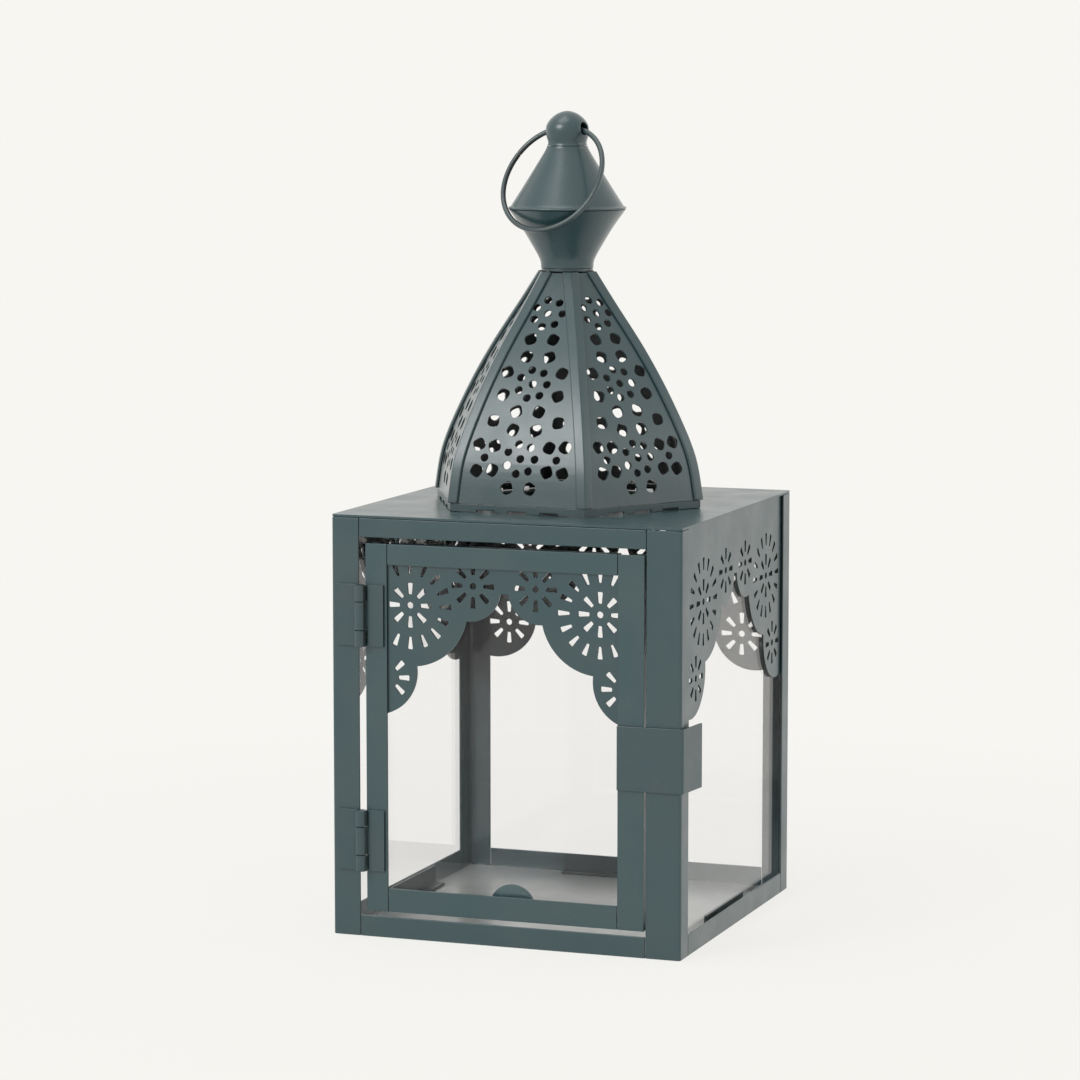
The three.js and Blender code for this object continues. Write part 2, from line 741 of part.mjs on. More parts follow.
const bail = new THREE.Group();
bail.position.z = ringAxisZ;
bail.rotation.z = ringTurn;
lantern.add(bail);
const ringLoop = new THREE.TorusGeometry(ringRadius, wireRadius, 8, 36).translate(0, -ringReach, 0);
addPiece('carrying_ring', ringLoop, paint, bail).rotation.x = Math.PI / 2 - restingLean();

export default lantern;
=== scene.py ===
# %% [markdown]
# # A candle lantern in painted sheet steel
# The real lantern is cut from thin steel sheet, folded, spot-welded and sprayed grey-teal.
# It has a glazed square body, a door with fretwork, a pierced six-sided dome, a hollow spun
# finial and a wire ring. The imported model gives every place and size. This notebook gives
# each piece its fine shape and its finish, and leaves the places as they are.

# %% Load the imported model
import json
import math

import bmesh
import bpy
from mathutils import Matrix, Vector

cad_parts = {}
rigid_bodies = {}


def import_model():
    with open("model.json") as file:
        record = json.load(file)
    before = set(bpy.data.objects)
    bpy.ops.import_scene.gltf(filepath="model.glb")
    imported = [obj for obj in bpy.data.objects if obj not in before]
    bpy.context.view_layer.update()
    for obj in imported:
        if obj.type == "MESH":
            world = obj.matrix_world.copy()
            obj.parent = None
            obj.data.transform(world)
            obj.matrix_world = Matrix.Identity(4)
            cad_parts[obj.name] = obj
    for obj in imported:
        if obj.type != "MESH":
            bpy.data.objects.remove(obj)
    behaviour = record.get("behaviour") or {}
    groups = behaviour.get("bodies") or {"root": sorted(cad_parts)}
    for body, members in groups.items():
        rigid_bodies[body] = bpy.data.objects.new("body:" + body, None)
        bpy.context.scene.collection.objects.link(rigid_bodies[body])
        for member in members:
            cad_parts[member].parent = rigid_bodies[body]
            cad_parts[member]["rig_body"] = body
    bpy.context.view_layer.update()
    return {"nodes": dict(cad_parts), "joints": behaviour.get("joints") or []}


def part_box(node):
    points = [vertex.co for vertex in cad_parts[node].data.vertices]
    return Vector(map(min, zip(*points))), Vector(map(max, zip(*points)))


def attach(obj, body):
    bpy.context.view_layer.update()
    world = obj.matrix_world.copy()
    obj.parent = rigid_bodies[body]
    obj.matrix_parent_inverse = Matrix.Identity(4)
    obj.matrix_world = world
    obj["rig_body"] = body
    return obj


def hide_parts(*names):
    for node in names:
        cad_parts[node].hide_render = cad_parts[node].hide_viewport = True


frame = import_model()
MM = 0.001
scene = bpy.context.scene

# %% [markdown]
# ## Camera and studio
# The photograph was taken from a little above and to the right of the door, with a long
# lens. The camera's place was worked out from the body's corners, so it is given here as
# turn, tilt, distance and lens. The studio is a pale floor that runs into a pale world.

# %% Camera
camera_turn = math.radians(20.072)
camera_tilt = math.radians(6.922)
camera_distance = 1590.7 * MM
camera_aside = -10.945 * MM
camera_aim_height = 152.63 * MM

camera = bpy.data.objects.new("camera", bpy.data.cameras.new("camera"))
scene.collection.objects.link(camera)
scene.camera = camera
camera.data.sensor_width = 36
camera.data.lens = 131.0
camera_axes = Matrix.Rotation(camera_turn, 4, "Z") @ Matrix.Rotation(math.pi / 2 - camera_tilt, 4, "X")
camera_aim = Matrix.Translation((0, 0, camera_aim_height))
camera.matrix_world = camera_aim @ camera_axes @ Matrix.Translation((camera_aside, 0, camera_distance))
camera.data.clip_start = 0.05
camera.data.clip_end = 60
print("camera at", [round(value, 3) for value in camera.matrix_world.translation])

# %% [markdown]
# Materials, the world and Geometry Nodes are all trees of nodes. One small helper adds a
# node, sets its properties and fills its inputs: with a link where it is given a socket,
# and with a plain value otherwise. Another starts a tree of its own with named sockets.

# %% Node helpers
def put(tree, kind, inputs=None, **settings):
    """A node with its properties, and links or values for its inputs."""
    node = tree.nodes.new(kind)
    for label, value in settings.items():
        setattr(node, label, value)
    for label, value in (inputs or {}).items():
        if isinstance(value, bpy.types.NodeSocket):
            tree.links.new(value, node.inputs[label])
        else:
            node.inputs[label].default_value = value
    return node


socket_kinds = {int: "NodeSocketInt", float: "NodeSocketFloat", tuple: "NodeSocketColor"}


def new_tree(kind, name, inputs, outputs):
    """An empty tree with named sockets, and the sockets of its two ends.

    An input's kind follows from its value, or is given in place of one."""
    tree = bpy.data.node_groups.new(name, kind)
    for label, value in inputs.items():
        socket_kind = socket_kinds.get(type(value), value)
        socket = tree.interface.new_socket(label, in_out="INPUT", socket_type=socket_kind)
        if socket_kind != value:
            socket.default_value = value
    for label, socket_kind in outputs.items():
        tree.interface.new_socket(label, in_out="OUTPUT", socket_type=socket_kind)
    return tree, tree.nodes.new("NodeGroupInput").outputs, tree.nodes.new("NodeGroupOutput").inputs


def arithmetic(tree, way, first, second):
    """A Math node on two sockets or numbers."""
    return put(tree, "ShaderNodeMath", {0: first, 1: second}, operation=way).outputs[0]


def mapped(tree, source, low, high, to_low, to_high):
    """A Map Range node on a value."""
    return put(tree, "ShaderNodeMapRange", {
        "From Min": low, "From Max": high, "To Min": to_low, "To Max": to_high, "Value": source,
    }).outputs["Result"]


def seen_directly(tree):
    """One for camera, mirror and see-through rays, nought for the rest."""
    rays = put(tree, "ShaderNodeLightPath").outputs
    straight = arithmetic(tree, "MAXIMUM", rays["Is Camera Ray"], rays["Is Transmission Ray"])
    return arithmetic(tree, "MAXIMUM", straight, rays["Is Glossy Ray"])


# %% World
backdrop_colour = (0.931, 0.922, 0.888, 1)
world_strength = 0.55
scene.view_settings.view_transform = "Standard"
world = bpy.data.worlds.new("studio")
scene.world = world
world.use_nodes = True
world_tree = world.node_tree
world_tree.nodes.clear()
world_light = put(world_tree, "ShaderNodeBackground", {"Color": (1, 1, 1, 1), "Strength": world_strength})
world_seen = put(world_tree, "ShaderNodeBackground", {"Color": backdrop_colour})
world_mix = put(world_tree, "ShaderNodeMixShader", {
    "Fac": seen_directly(world_tree), 1: world_light.outputs[0], 2: world_seen.outputs[0]})
put(world_tree, "ShaderNodeOutputWorld", {"Surface": world_mix.outputs[0]})

# %% [markdown]
# The latch side is pale because it mirrors the backdrop at a low angle, so the lamp on the
# right stays weak. A second lamp hangs above, and a third stands high on the front left,
# where the foot of the dome's front panel mirrors it.

# %% Lamps
def softbox(name, place, target, size, watts):
    """A square area lamp that faces a point."""
    lamp = bpy.data.lights.new(name, "AREA")
    lamp.shape = "SQUARE"
    lamp.size = size
    lamp.energy = watts
    holder = bpy.data.objects.new(name, lamp)
    aim = Vector(target) - Vector(place)
    holder.location = place
    holder.rotation_euler = aim.to_track_quat("-Z", "Y").to_euler()
    scene.collection.objects.link(holder)


lantern_middle = (0, 0, 0.17)
softbox("lamp_right", (1.5, 0.5, 0.6), lantern_middle, size=0.9, watts=3)
softbox("lamp_above", (-0.3, -0.3, 1.7), lantern_middle, size=0.9, watts=5)
softbox("lamp_front", (-0.78, -1.5, 1.15), lantern_middle, size=0.8, watts=15)

# %% Floor
floor_reach = 20
floor_below = 0.2 * MM
shadow_near, shadow_far = 0.1, 0.45
glow_near = 0.86


def new_material(name):
    """A material with nodes, and its tree."""
    made = bpy.data.materials.new(name)
    made.use_nodes = True
    return made, made.node_tree


def stage_material():
    """The floor: it takes the lantern's shadow, and elsewhere looks like the backdrop."""
    made, tree = new_material("studio_floor")
    tree.nodes.clear()
    plain = put(tree, "ShaderNodeBsdfDiffuse", {"Color": (0.8, 0.8, 0.78, 1)})
    glow = put(tree, "ShaderNodeEmission", {"Color": backdrop_colour})
    place = put(tree, "ShaderNodeTexCoord").outputs["Object"]
    away = put(tree, "ShaderNodeVectorMath", {0: place}, operation="LENGTH").outputs["Value"]
    fade = mapped(tree, away, shadow_near, shadow_far, glow_near, 1.0)
    share = arithmetic(tree, "MULTIPLY", seen_directly(tree), fade)
    mix = put(tree, "ShaderNodeMixShader", {"Fac": share, 1: plain.outputs[0], 2: glow.outputs[0]})
    put(tree, "ShaderNodeOutputMaterial", {"Surface": mix.outputs[0]})
    return made


def new_piece(corners=(), edges=(), faces=()):
    """An object at the origin, with a mesh of these corners, edges and faces."""
    mesh = bpy.data.meshes.new("piece")
    mesh.from_pydata(corners, edges, faces)
    piece = bpy.data.objects.new("piece", mesh)
    scene.collection.objects.link(piece)
    return piece


floor_corners = [(-1, -1), (1, -1), (1, 1), (-1, 1)]
floor = new_piece([(x * floor_reach, y * floor_reach, 0) for x, y in floor_corners], [], [(0, 1, 2, 3)])
floor.name = "studio_floor"
floor.location.z = -floor_below
floor.data.materials.append(stage_material())

# %% [markdown]
# ## Finishes
# Every steel piece has the same sprayed paint: an even satin film with faint cloudy
# patches, a fine orange-peel skin and a dusting of paler specks. Inward faces get painted
# shade, darker higher up, for the shade inside the lantern. That film is one shader group
# with named sockets, so that the frame, the hinges and the wire can each have it with other values.

# %% The paint film group
film, film_in, film_out = new_tree("ShaderNodeTree", "paint_film", {
    "Vector": "NodeSocketVector",
    "Paint": (0.07, 0.11, 0.12, 1),
    "Cloud": (0.09, 0.11, 0.115, 1),
    "Speck": (0.22, 0.25, 0.25, 1),
    "Cloud Scale": 22.0,
    "Roughness": 0.42,
    "Facing": "NodeSocketVector",
    # The colour of the painted shade on faces that look inwards
    "Painted Shade": (0.008, 0.011, 0.012, 1),
}, {"Colour": "NodeSocketColor", "Roughness": "NodeSocketFloat", "Height": "NodeSocketFloat"})
film_place = film_in["Vector"]


def blended(factor, first, second):
    """A colour Mix node in the film."""
    return put(film, "ShaderNodeMix", {"Factor": factor, "A": first, "B": second},
               data_type="RGBA").outputs["Result"]


def noise(scale, detail, distortion=0.0):
    """A Noise Texture in the film, with its scale from a socket or a number."""
    return put(film, "ShaderNodeTexNoise", {
        "Vector": film_place, "Scale": scale, "Detail": detail, "Distortion": distortion}).outputs["Fac"]


def vector_math(way, first, second):
    """The outputs of a Vector Math node in the film."""
    return put(film, "ShaderNodeVectorMath", {0: first, 1: second}, operation=way).outputs


speck_scale, patch_scale, skin_scale = 1700, 60, 900
cloud_mask = mapped(film, noise(film_in["Cloud Scale"], 4, 0.6), 0.38, 0.66, 0, 1)
clouded = blended(cloud_mask, film_in["Paint"], film_in["Cloud"])
speck_mask = mapped(film, noise(speck_scale, 2), 0.70, 0.80, 0, 0.55)
specked = blended(speck_mask, clouded, film_in["Speck"])

# %% Painted shade on the faces that look inwards
shade_dulling = 0.4
shade_heights, shade_amounts = (0.01, 0.13), (0.30, 0.94)
# A face looks inwards where its normal points to the lantern's upright axis
from_axis = vector_math("MULTIPLY", film_place, (1, 1, 0))["Vector"]
outwardness = vector_math("DOT_PRODUCT", from_axis, film_in["Facing"])["Value"]
inward = mapped(film, outwardness, -0.006, -0.002, 1, 0)
film_height = put(film, "ShaderNodeSeparateXYZ", {0: film_place}).outputs["Z"]
# Painted shade: faces that look inwards are darkened towards this colour, more so higher up, where the
# inside of the lantern lies in shade
painted_shade_mask = arithmetic(film, "MULTIPLY", inward, mapped(film, film_height, *shade_heights, *shade_amounts))
shade_painted = blended(painted_shade_mask, specked, film_in["Painted Shade"])
patch = mapped(film, noise(patch_scale, 3), 0.3, 0.7, -0.07, 0.07)
dulled = put(film, "ShaderNodeMath", {
    0: painted_shade_mask, 1: shade_dulling, 2: arithmetic(film, "ADD", film_in["Roughness"], patch),
}, operation="MULTIPLY_ADD", use_clamp=True)
film.links.new(shade_painted, film_out["Colour"])
film.links.new(dulled.outputs[0], film_out["Roughness"])
film.links.new(noise(skin_scale, 3), film_out["Height"])

# %% Paint materials
skin_depth = 0.12 * MM


def set_sockets(surface, values):
    """Sets a shader's plain values."""
    for label, value in values.items():
        surface.inputs[label].default_value = value


def paint_material(name, paint, cloud, speck, cloud_scale, roughness, bump):
    """Sprayed steel with the paint film group's colour, gloss and skin."""
    made, tree = new_material(name)
    surface = tree.nodes["Principled BSDF"]
    place = put(tree, "ShaderNodeTexCoord").outputs
    coat = put(tree, "ShaderNodeGroup", {
        "Paint": (*paint, 1), "Cloud": (*cloud, 1), "Speck": (*speck, 1), "Cloud Scale": cloud_scale,
        "Roughness": roughness, "Vector": place["Object"], "Facing": place["Normal"],
    }, node_tree=film).outputs
    skin = put(tree, "ShaderNodeBump", {"Strength": bump, "Distance": skin_depth, "Height": coat["Height"]})
    tree.links.new(coat["Colour"], surface.inputs["Base Color"])
    tree.links.new(coat["Roughness"], surface.inputs["Roughness"])
    tree.links.new(skin.outputs["Normal"], surface.inputs["Normal"])
    set_sockets(surface, {"IOR": 1.5, "Coat Weight": 0.55, "Coat Roughness": 0.24})
    return made


steel_paint = paint_material(
    "steel_paint", (0.021, 0.060, 0.068), (0.030, 0.064, 0.069), (0.12, 0.15, 0.155), 24, 0.42, 0.35)
door_paint = paint_material(
    "door_paint", (0.023, 0.064, 0.072), (0.034, 0.070, 0.075), (0.13, 0.155, 0.16), 30, 0.44, 0.35)
fret_paint = paint_material(
    "fret_paint", (0.019, 0.058, 0.067), (0.029, 0.063, 0.069), (0.11, 0.14, 0.145), 34, 0.40, 0.3)
dome_paint = paint_material(
    "dome_paint", (0.016, 0.052, 0.060), (0.028, 0.062, 0.068), (0.15, 0.18, 0.18), 40, 0.36, 0.4)
hinge_paint = paint_material(
    "hinge_paint", (0.022, 0.058, 0.065), (0.032, 0.062, 0.067), (0.12, 0.15, 0.15), 70, 0.46, 0.6)
wire_paint = paint_material(
    "wire_paint", (0.026, 0.052, 0.057), (0.040, 0.060, 0.063), (0.15, 0.16, 0.16), 110, 0.40, 0.5)
floor_paint = paint_material(
    "floor_paint", (0.240, 0.262, 0.262), (0.300, 0.312, 0.302), (0.20, 0.22, 0.22), 28, 0.38, 0.5)
# Painted shade: a darker paint for the pane strips and clips, which stand in shade behind the glass
inner_painted_shade = paint_material(
    "inner_painted_shade", (0.030, 0.048, 0.053), (0.040, 0.052, 0.055), (0.10, 0.12, 0.12), 30, 0.5, 0.3)

# %% Glass
def pane_material():
    """Clear glass. Light goes through it without a dark shadow.

    Its index is below that of real glass, because a real room is darker in front of a
    lantern than this white studio is, and so a real pane mirrors less."""
    made, tree = new_material("pane_glass")
    surface = tree.nodes["Principled BSDF"]
    set_sockets(surface, {"Base Color": (0.965, 0.962, 0.965, 1), "Roughness": 0.015,
                          "IOR": 1.27, "Transmission Weight": 1})
    clear = put(tree, "ShaderNodeBsdfTransparent")
    shadow = put(tree, "ShaderNodeLightPath").outputs["Is Shadow Ray"]
    mix = put(tree, "ShaderNodeMixShader", {"Fac": shadow, 1: surface.outputs[0], 2: clear.outputs[0]})
    tree.links.new(mix.outputs[0], tree.nodes["Material Output"].inputs["Surface"])
    return made


pane_glass = pane_material()

# %% [markdown]
# ## Folded and cut strips
# Posts, rails and stiles are strips of 0.9 mm sheet with barely rounded edges. Their CAD
# shapes are right, so each is copied, its loose triangles are merged, and a narrow bevel
# rounds the cut edges, which is what catches the light on real sheet.

# %% Helpers for finished pieces
edge_angle = math.radians(38)
shade_angle = math.radians(34)


def plain_mesh(piece):
    """Turns a piece with live modifiers into a plain mesh."""
    bpy.context.view_layer.update()
    graph = bpy.context.evaluated_depsgraph_get()
    mesh = bpy.data.meshes.new_from_object(piece.evaluated_get(graph))
    piece.modifiers.clear()
    piece.data = mesh
    return piece


def smoothed(mesh, angle):
    """Smooth shading up to an angle between faces, sharp past it."""
    work = bmesh.new()
    work.from_mesh(mesh)
    for edge in work.edges:
        edge.smooth = len(edge.link_faces) == 2 and edge.calc_face_angle(math.pi) < angle
    for face in work.faces:
        face.smooth = True
    work.to_mesh(mesh)
    work.free()


def outwards(mesh, merge=0.0):
    """Turns a mesh's faces outwards, after merging its doubles where a distance is given."""
    work = bmesh.new()
    work.from_mesh(mesh)
    if merge:
        bmesh.ops.remove_doubles(work, verts=work.verts, dist=merge)
        bmesh.ops.dissolve_degenerate(work, dist=merge, edges=work.edges)
    bmesh.ops.recalc_face_normals(work, faces=work.faces)
    work.to_mesh(mesh)
    work.free()


def edge_rounded(piece, width, segments=2):
    """Rounds the cut edges of a piece by a width in the units of its mesh."""
    bevel = piece.modifiers.new("edges", "BEVEL")
    bevel.width = width
    bevel.segments = segments
    bevel.limit_method = "ANGLE"
    bevel.angle_limit = edge_angle
    bevel.use_clamp_overlap = True
    return plain_mesh(piece)


def boolean(piece, other, way):
    """Cuts another piece from this one, or unites the two, and removes the other."""
    work = piece.modifiers.new("boolean", "BOOLEAN")
    work.operation = way
    work.object = other
    work.solver = "MANIFOLD"
    plain_mesh(piece)
    bpy.data.objects.remove(other)


def stands_alone(piece, name, material, angle=shade_angle):
    """Names, paints and shades a piece.

    Weighted normals keep the wide flat faces flat beside their rounded edges."""
    piece.name = name
    piece.data.materials.clear()
    piece.data.materials.append(material)
    for face in piece.data.polygons:
        face.material_index = 0
    smoothed(piece.data, angle)
    weighted = piece.modifiers.new("flat_faces", "WEIGHTED_NORMAL")
    weighted.keep_sharp = True
    weighted.weight = 100
    plain_mesh(piece)


def stands_for(piece, node, material, angle=shade_angle):
    """Finishes a piece, seats it on its body and lets it replace a CAD node."""
    stands_alone(piece, node + "_piece", material, angle)
    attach(piece, frame["nodes"][node]["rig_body"])
    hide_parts(node)


def softened(node, material, width_mm, segments=2):
    """A copy of a CAD node with its cut edges rounded."""
    work = bmesh.new()
    work.from_mesh(frame["nodes"][node].data)
    bmesh.ops.remove_doubles(work, verts=work.verts, dist=0.004 * MM)
    bmesh.ops.dissolve_limit(
        work, angle_limit=math.radians(0.5), verts=work.verts, edges=work.edges)
    piece = new_piece()
    work.to_mesh(piece.data)
    work.free()
    stands_for(edge_rounded(piece, width_mm * MM, segments), node, material)


# %% Strips, panes and small sheet pieces
sides = ("left", "right", "back")
# The finish, the edge's width in millimetres and its segments, and the nodes that have them
soft_edges = {
    (steel_paint, 0.3, 3): [
        "post_front_hinge", "post_front_latch", "post_back_left", "post_back_right",
        "bottom_rail_front", "bottom_rail_back", "bottom_rail_left", "bottom_rail_right",
        "top_rail_front"],
    (door_paint, 0.22, 2): ["door_stile_hinge", "door_stile_latch", "door_rail_top", "door_rail_bottom"],
    # The pane strips get the darker paint of painted shade
    (inner_painted_shade, 0.15, 2): ["pane_strip_" + side for side in sides],
    (pane_glass, 0.12, 2): [*("pane_" + side for side in sides), "door_pane"],
    (hinge_paint, 0.22, 3): ["latch_clip"],
    (dome_paint, 0.15, 2): ["dome_base", "neck_washer"],
}
for finish, nodes in soft_edges.items():
    for node in nodes:
        softened(node, *finish)
print("pieces with softened edges:", sum(len(nodes) for nodes in soft_edges.values()))

# %% [markdown]
# ## Sheet cut with many holes
# Fretwork, floor and top plate are flat sheet. Geometry Nodes can fill a set of closed
# outlines, which leaves a hole wherever one lies inside another, and then draw the filled
# face out to a thickness. One small group does that for all of them. The outlines are
# drawn in millimetres, because very small numbers upset the filling.

# %% Geometry Nodes helpers
geometry_kind, material_kind = "NodeSocketGeometry", "NodeSocketMaterial"


def geometry_tree(name, inputs):
    """An empty geometry tree with named inputs."""
    given = {"Geometry": geometry_kind, **inputs}
    return new_tree("GeometryNodeTree", name, given, {"Geometry": geometry_kind})


def joined(tree, sources):
    """The geometry of several sockets together."""
    node = put(tree, "GeometryNodeJoinGeometry")
    for source in sources:
        tree.links.new(source, node.inputs["Geometry"])
    return node.outputs["Geometry"]


def realized(tree, geometry):
    """Instances made into real geometry."""
    return put(tree, "GeometryNodeRealizeInstances", {"Geometry": geometry}).outputs["Geometry"]


def finish_tree(tree, geometry, given, out):
    """Ends a tree: instances are made real and get the material."""
    painted = put(tree, "GeometryNodeSetMaterial", {
        "Geometry": realized(tree, geometry), "Material": given["Material"]})
    tree.links.new(painted.outputs["Geometry"], out["Geometry"])


def on_points(tree, points, instance, **more):
    """Instances on points."""
    inputs = {"Points": points, "Instance": instance, **more}
    return put(tree, "GeometryNodeInstanceOnPoints", inputs).outputs["Instances"]


def run_tree(piece, tree, values, material):
    """Runs a tree on a piece with the given inputs and keeps the result as a plain mesh."""
    modifier = piece.modifiers.new(tree.name, "NODES")
    modifier.node_group = tree
    values = {**values, "Material": material}
    for item in tree.interface.items_tree:
        if item.item_type == "SOCKET" and item.in_out == "INPUT" and item.name in values:
            modifier[item.identifier] = values[item.name]
    return plain_mesh(piece)


# %% Outlines drawn out to a sheet
thicken, thicken_in, thicken_out = geometry_tree("thicken_outlines", {"Thickness": 0.8})
filled = put(thicken, "GeometryNodeFillCurve", {"Curve": thicken_in["Geometry"]}, mode="TRIANGLES")
drawn = put(thicken, "GeometryNodeExtrudeMesh", {
    "Mesh": filled.outputs["Mesh"],
    "Offset Scale": thicken_in["Thickness"],
    "Individual": False,
})
turned_over = put(thicken, "GeometryNodeFlipFaces", {"Mesh": filled.outputs["Mesh"]})
both_sides = joined(thicken, (drawn.outputs["Mesh"], turned_over.outputs["Mesh"]))
sealed = put(thicken, "GeometryNodeMergeByDistance", {"Geometry": both_sides, "Distance": 0.002})
thicken.links.new(sealed.outputs["Geometry"], thicken_out["Geometry"])


def thickened(tree, curves, thickness):
    """Closed curves filled and drawn out to a thickness."""
    return put(tree, "GeometryNodeGroup", {"Geometry": curves, "Thickness": thickness},
               node_tree=thicken).outputs["Geometry"]


# %% Rings of petals
petal_ring, ring_in, ring_out = geometry_tree("petal_ring", {
    "Petals": 8, "Inner": 4.3, "Outer": 8.9, "Narrow": 1.5, "Wide": 2.3, "Corner": 0.45})
petal_length = arithmetic(petal_ring, "SUBTRACT", ring_in["Outer"], ring_in["Inner"])
petal_sum = arithmetic(petal_ring, "ADD", ring_in["Outer"], ring_in["Inner"])
petal_middle = arithmetic(petal_ring, "MULTIPLY", petal_sum, 0.5)
petal_curve = put(petal_ring, "GeometryNodeCurvePrimitiveQuadrilateral", {
    "Height": petal_length,
    "Bottom Width": ring_in["Narrow"],
    "Top Width": ring_in["Wide"],
    "Offset": 0.0,
}, mode="TRAPEZOID")


def rounded_corners(tree, curve, radius):
    """A curve with its corners rounded."""
    return put(tree, "GeometryNodeFilletCurve", {
        "Curve": curve.outputs["Curve"], "Radius": radius, "Limit Radius": True, "Count": 4,
    }, mode="POLY").outputs["Curve"]


petal_points = put(petal_ring, "GeometryNodeMeshCircle", {
    "Vertices": ring_in["Petals"], "Radius": petal_middle})
petal_index = put(petal_ring, "GeometryNodeInputIndex").outputs[0]
petal_share = arithmetic(petal_ring, "DIVIDE", petal_index, ring_in["Petals"])
petal_angle = arithmetic(petal_ring, "MULTIPLY", petal_share, 2 * math.pi)
petal_turn = arithmetic(petal_ring, "SUBTRACT", petal_angle, math.pi / 2)
petal_axes = put(petal_ring, "ShaderNodeCombineXYZ", {"Z": petal_turn})
petals_set = on_points(
    petal_ring, petal_points.outputs["Mesh"],
    rounded_corners(petal_ring, petal_curve, ring_in["Corner"]),
    Rotation=petal_axes.outputs["Vector"])
petal_ring.links.new(realized(petal_ring, petals_set), ring_out["Geometry"])

# %% [markdown]
# ## Fretwork
# Each valance has six flowers: small ones in the middle, large ones with a second ring of
# sixteen petals at the sides and small ones at the ends. The tree sets a ring of petals on
# every flower point, drops the petals that would lie behind the frame, and fills what is
# left between the petals and the scalloped outline.

# %% The fretwork tree
fretted, fret_in, fret_out = geometry_tree("fretted_sheet", {
    "Thickness": 0.8, "Petals": 8, "Far Petals": 16, "Inner": 4.3, "Outer": 8.9,
    "Far Inner": 12.4, "Far Outer": 17.4, "Narrow": 1.5, "Wide": 2.3, "Far Narrow": 1.1,
    "Eye": 1.35, "Sight Across": 48.0, "Sight Top": 149.0, "Material": material_kind})


def kind_attribute(tree):
    """The whole number that says what is set on a point."""
    read = put(tree, "GeometryNodeInputNamedAttribute", {"Name": "flower"}, data_type="INT")
    return read.outputs["Attribute"]


flower_kind = kind_attribute(fretted)


def flowers_of_kind(least):
    """The flower points whose kind is at least a number."""
    picked = put(fretted, "FunctionNodeCompare", {2: flower_kind, 3: least},
                 data_type="INT", operation="GREATER_EQUAL")
    return put(fretted, "GeometryNodeSeparateGeometry", {
        "Geometry": fret_in["Geometry"], "Selection": picked.outputs["Result"]}).outputs["Selection"]


def petals_of(prefix):
    """A petal ring whose sizes come from the fretwork's inputs with this prefix."""
    sizes = {label: fret_in[prefix + label] for label in ("Petals", "Inner", "Outer", "Narrow")}
    return put(fretted, "GeometryNodeGroup", {**sizes, "Wide": fret_in["Wide"]},
               node_tree=petal_ring).outputs["Geometry"]


near_ring, far_ring = petals_of(""), petals_of("Far ")
eye_curve = put(fretted, "GeometryNodeCurvePrimitiveCircle", {
    "Resolution": 14, "Radius": fret_in["Eye"]}, mode="RADIUS").outputs["Curve"]
openings = realized(fretted, joined(fretted, (
    on_points(fretted, flowers_of_kind(1), near_ring),
    on_points(fretted, flowers_of_kind(2), far_ring),
    on_points(fretted, flowers_of_kind(1), eye_curve),
)))
opening_place = put(fretted, "GeometryNodeInputPosition").outputs["Position"]
opening_parts = put(fretted, "ShaderNodeSeparateXYZ", {"Vector": opening_place}).outputs
opening_across = put(fretted, "ShaderNodeMath", {0: opening_parts["X"]}, operation="ABSOLUTE").outputs[0]
past_side = arithmetic(fretted, "GREATER_THAN", opening_across, fret_in["Sight Across"])
past_top = arithmetic(fretted, "GREATER_THAN", opening_parts["Y"], fret_in["Sight Top"])
in_sight = put(fretted, "GeometryNodeDeleteGeometry", {
    "Geometry": openings, "Selection": arithmetic(fretted, "MAXIMUM", past_side, past_top),
}, domain="CURVE").outputs["Geometry"]
edge_curve = put(fretted, "GeometryNodeMeshToCurve", {"Mesh": fret_in["Geometry"]}).outputs["Curve"]
fret_curves = joined(fretted, (edge_curve, in_sight))
finish_tree(fretted, thickened(fretted, fret_curves, fret_in["Thickness"]), fret_in, fret_out)

# %% The scalloped outline
def crossing(first, second):
    """The lower crossing of two lobes, each (x, y, radius)."""
    dx, dy = second[0] - first[0], second[1] - first[1]
    apart = math.hypot(dx, dy)
    along = (first[2] ** 2 - second[2] ** 2 + apart ** 2) / (2 * apart)
    aside = math.sqrt(first[2] ** 2 - along ** 2)
    return first[0] + (along * dx + aside * dy) / apart, first[1] + (along * dy - aside * dx) / apart


def arc(x, y, radius, first, sweep, steps):
    """Points on a circle from a first angle through a sweep, with both ends."""
    angles = [first + sweep * i / steps for i in range(steps + 1)]
    return [(x + radius * math.cos(a), y + radius * math.sin(a)) for a in angles]


def lobe_arc(lobe, start, end, steps):
    """Points of a lobe from after its start point to its end point, anticlockwise."""
    first, last = (math.atan2(point[1] - lobe[1], point[0] - lobe[0]) for point in (start, end))
    return arc(*lobe, first, (last - first) % (2 * math.pi), steps)[1:]


lobe_steps = (20, 26, 20)


def scallops(lobes, arch, reach):
    """The right half of the lower edge, from the arch's top to the sheet's end."""
    small, large, low = lobes
    start = (small[0] - math.sqrt(small[2] ** 2 - (arch - small[1]) ** 2), arch)
    end = (reach, low[1] - math.sqrt(low[2] ** 2 - (reach - low[0]) ** 2))
    cusps = [start, crossing(small, large), crossing(large, low), end]
    edge = [start]
    for lobe, first, last, steps in zip(lobes, cusps, cusps[1:], lobe_steps):
        edge += lobe_arc(lobe, first, last, steps)
    return edge


def outline_piece(loops, loose_points=(), kinds=()):
    """Closed loops and loose points in one piece, in millimetres, with a flower attribute."""
    corners, edges = [], []
    for loop in loops:
        start = len(corners)
        corners += [(x, y, 0) for x, y in loop]
        edges += [(start + i, start + (i + 1) % len(loop)) for i in range(len(loop))]
    flower_values = [0] * len(corners) + list(kinds)
    corners += [(x, y, 0) for x, y in loose_points]
    piece = new_piece(corners, edges)
    piece.data.attributes.new("flower", "INT", "POINT").data.foreach_set("value", flower_values)
    return piece


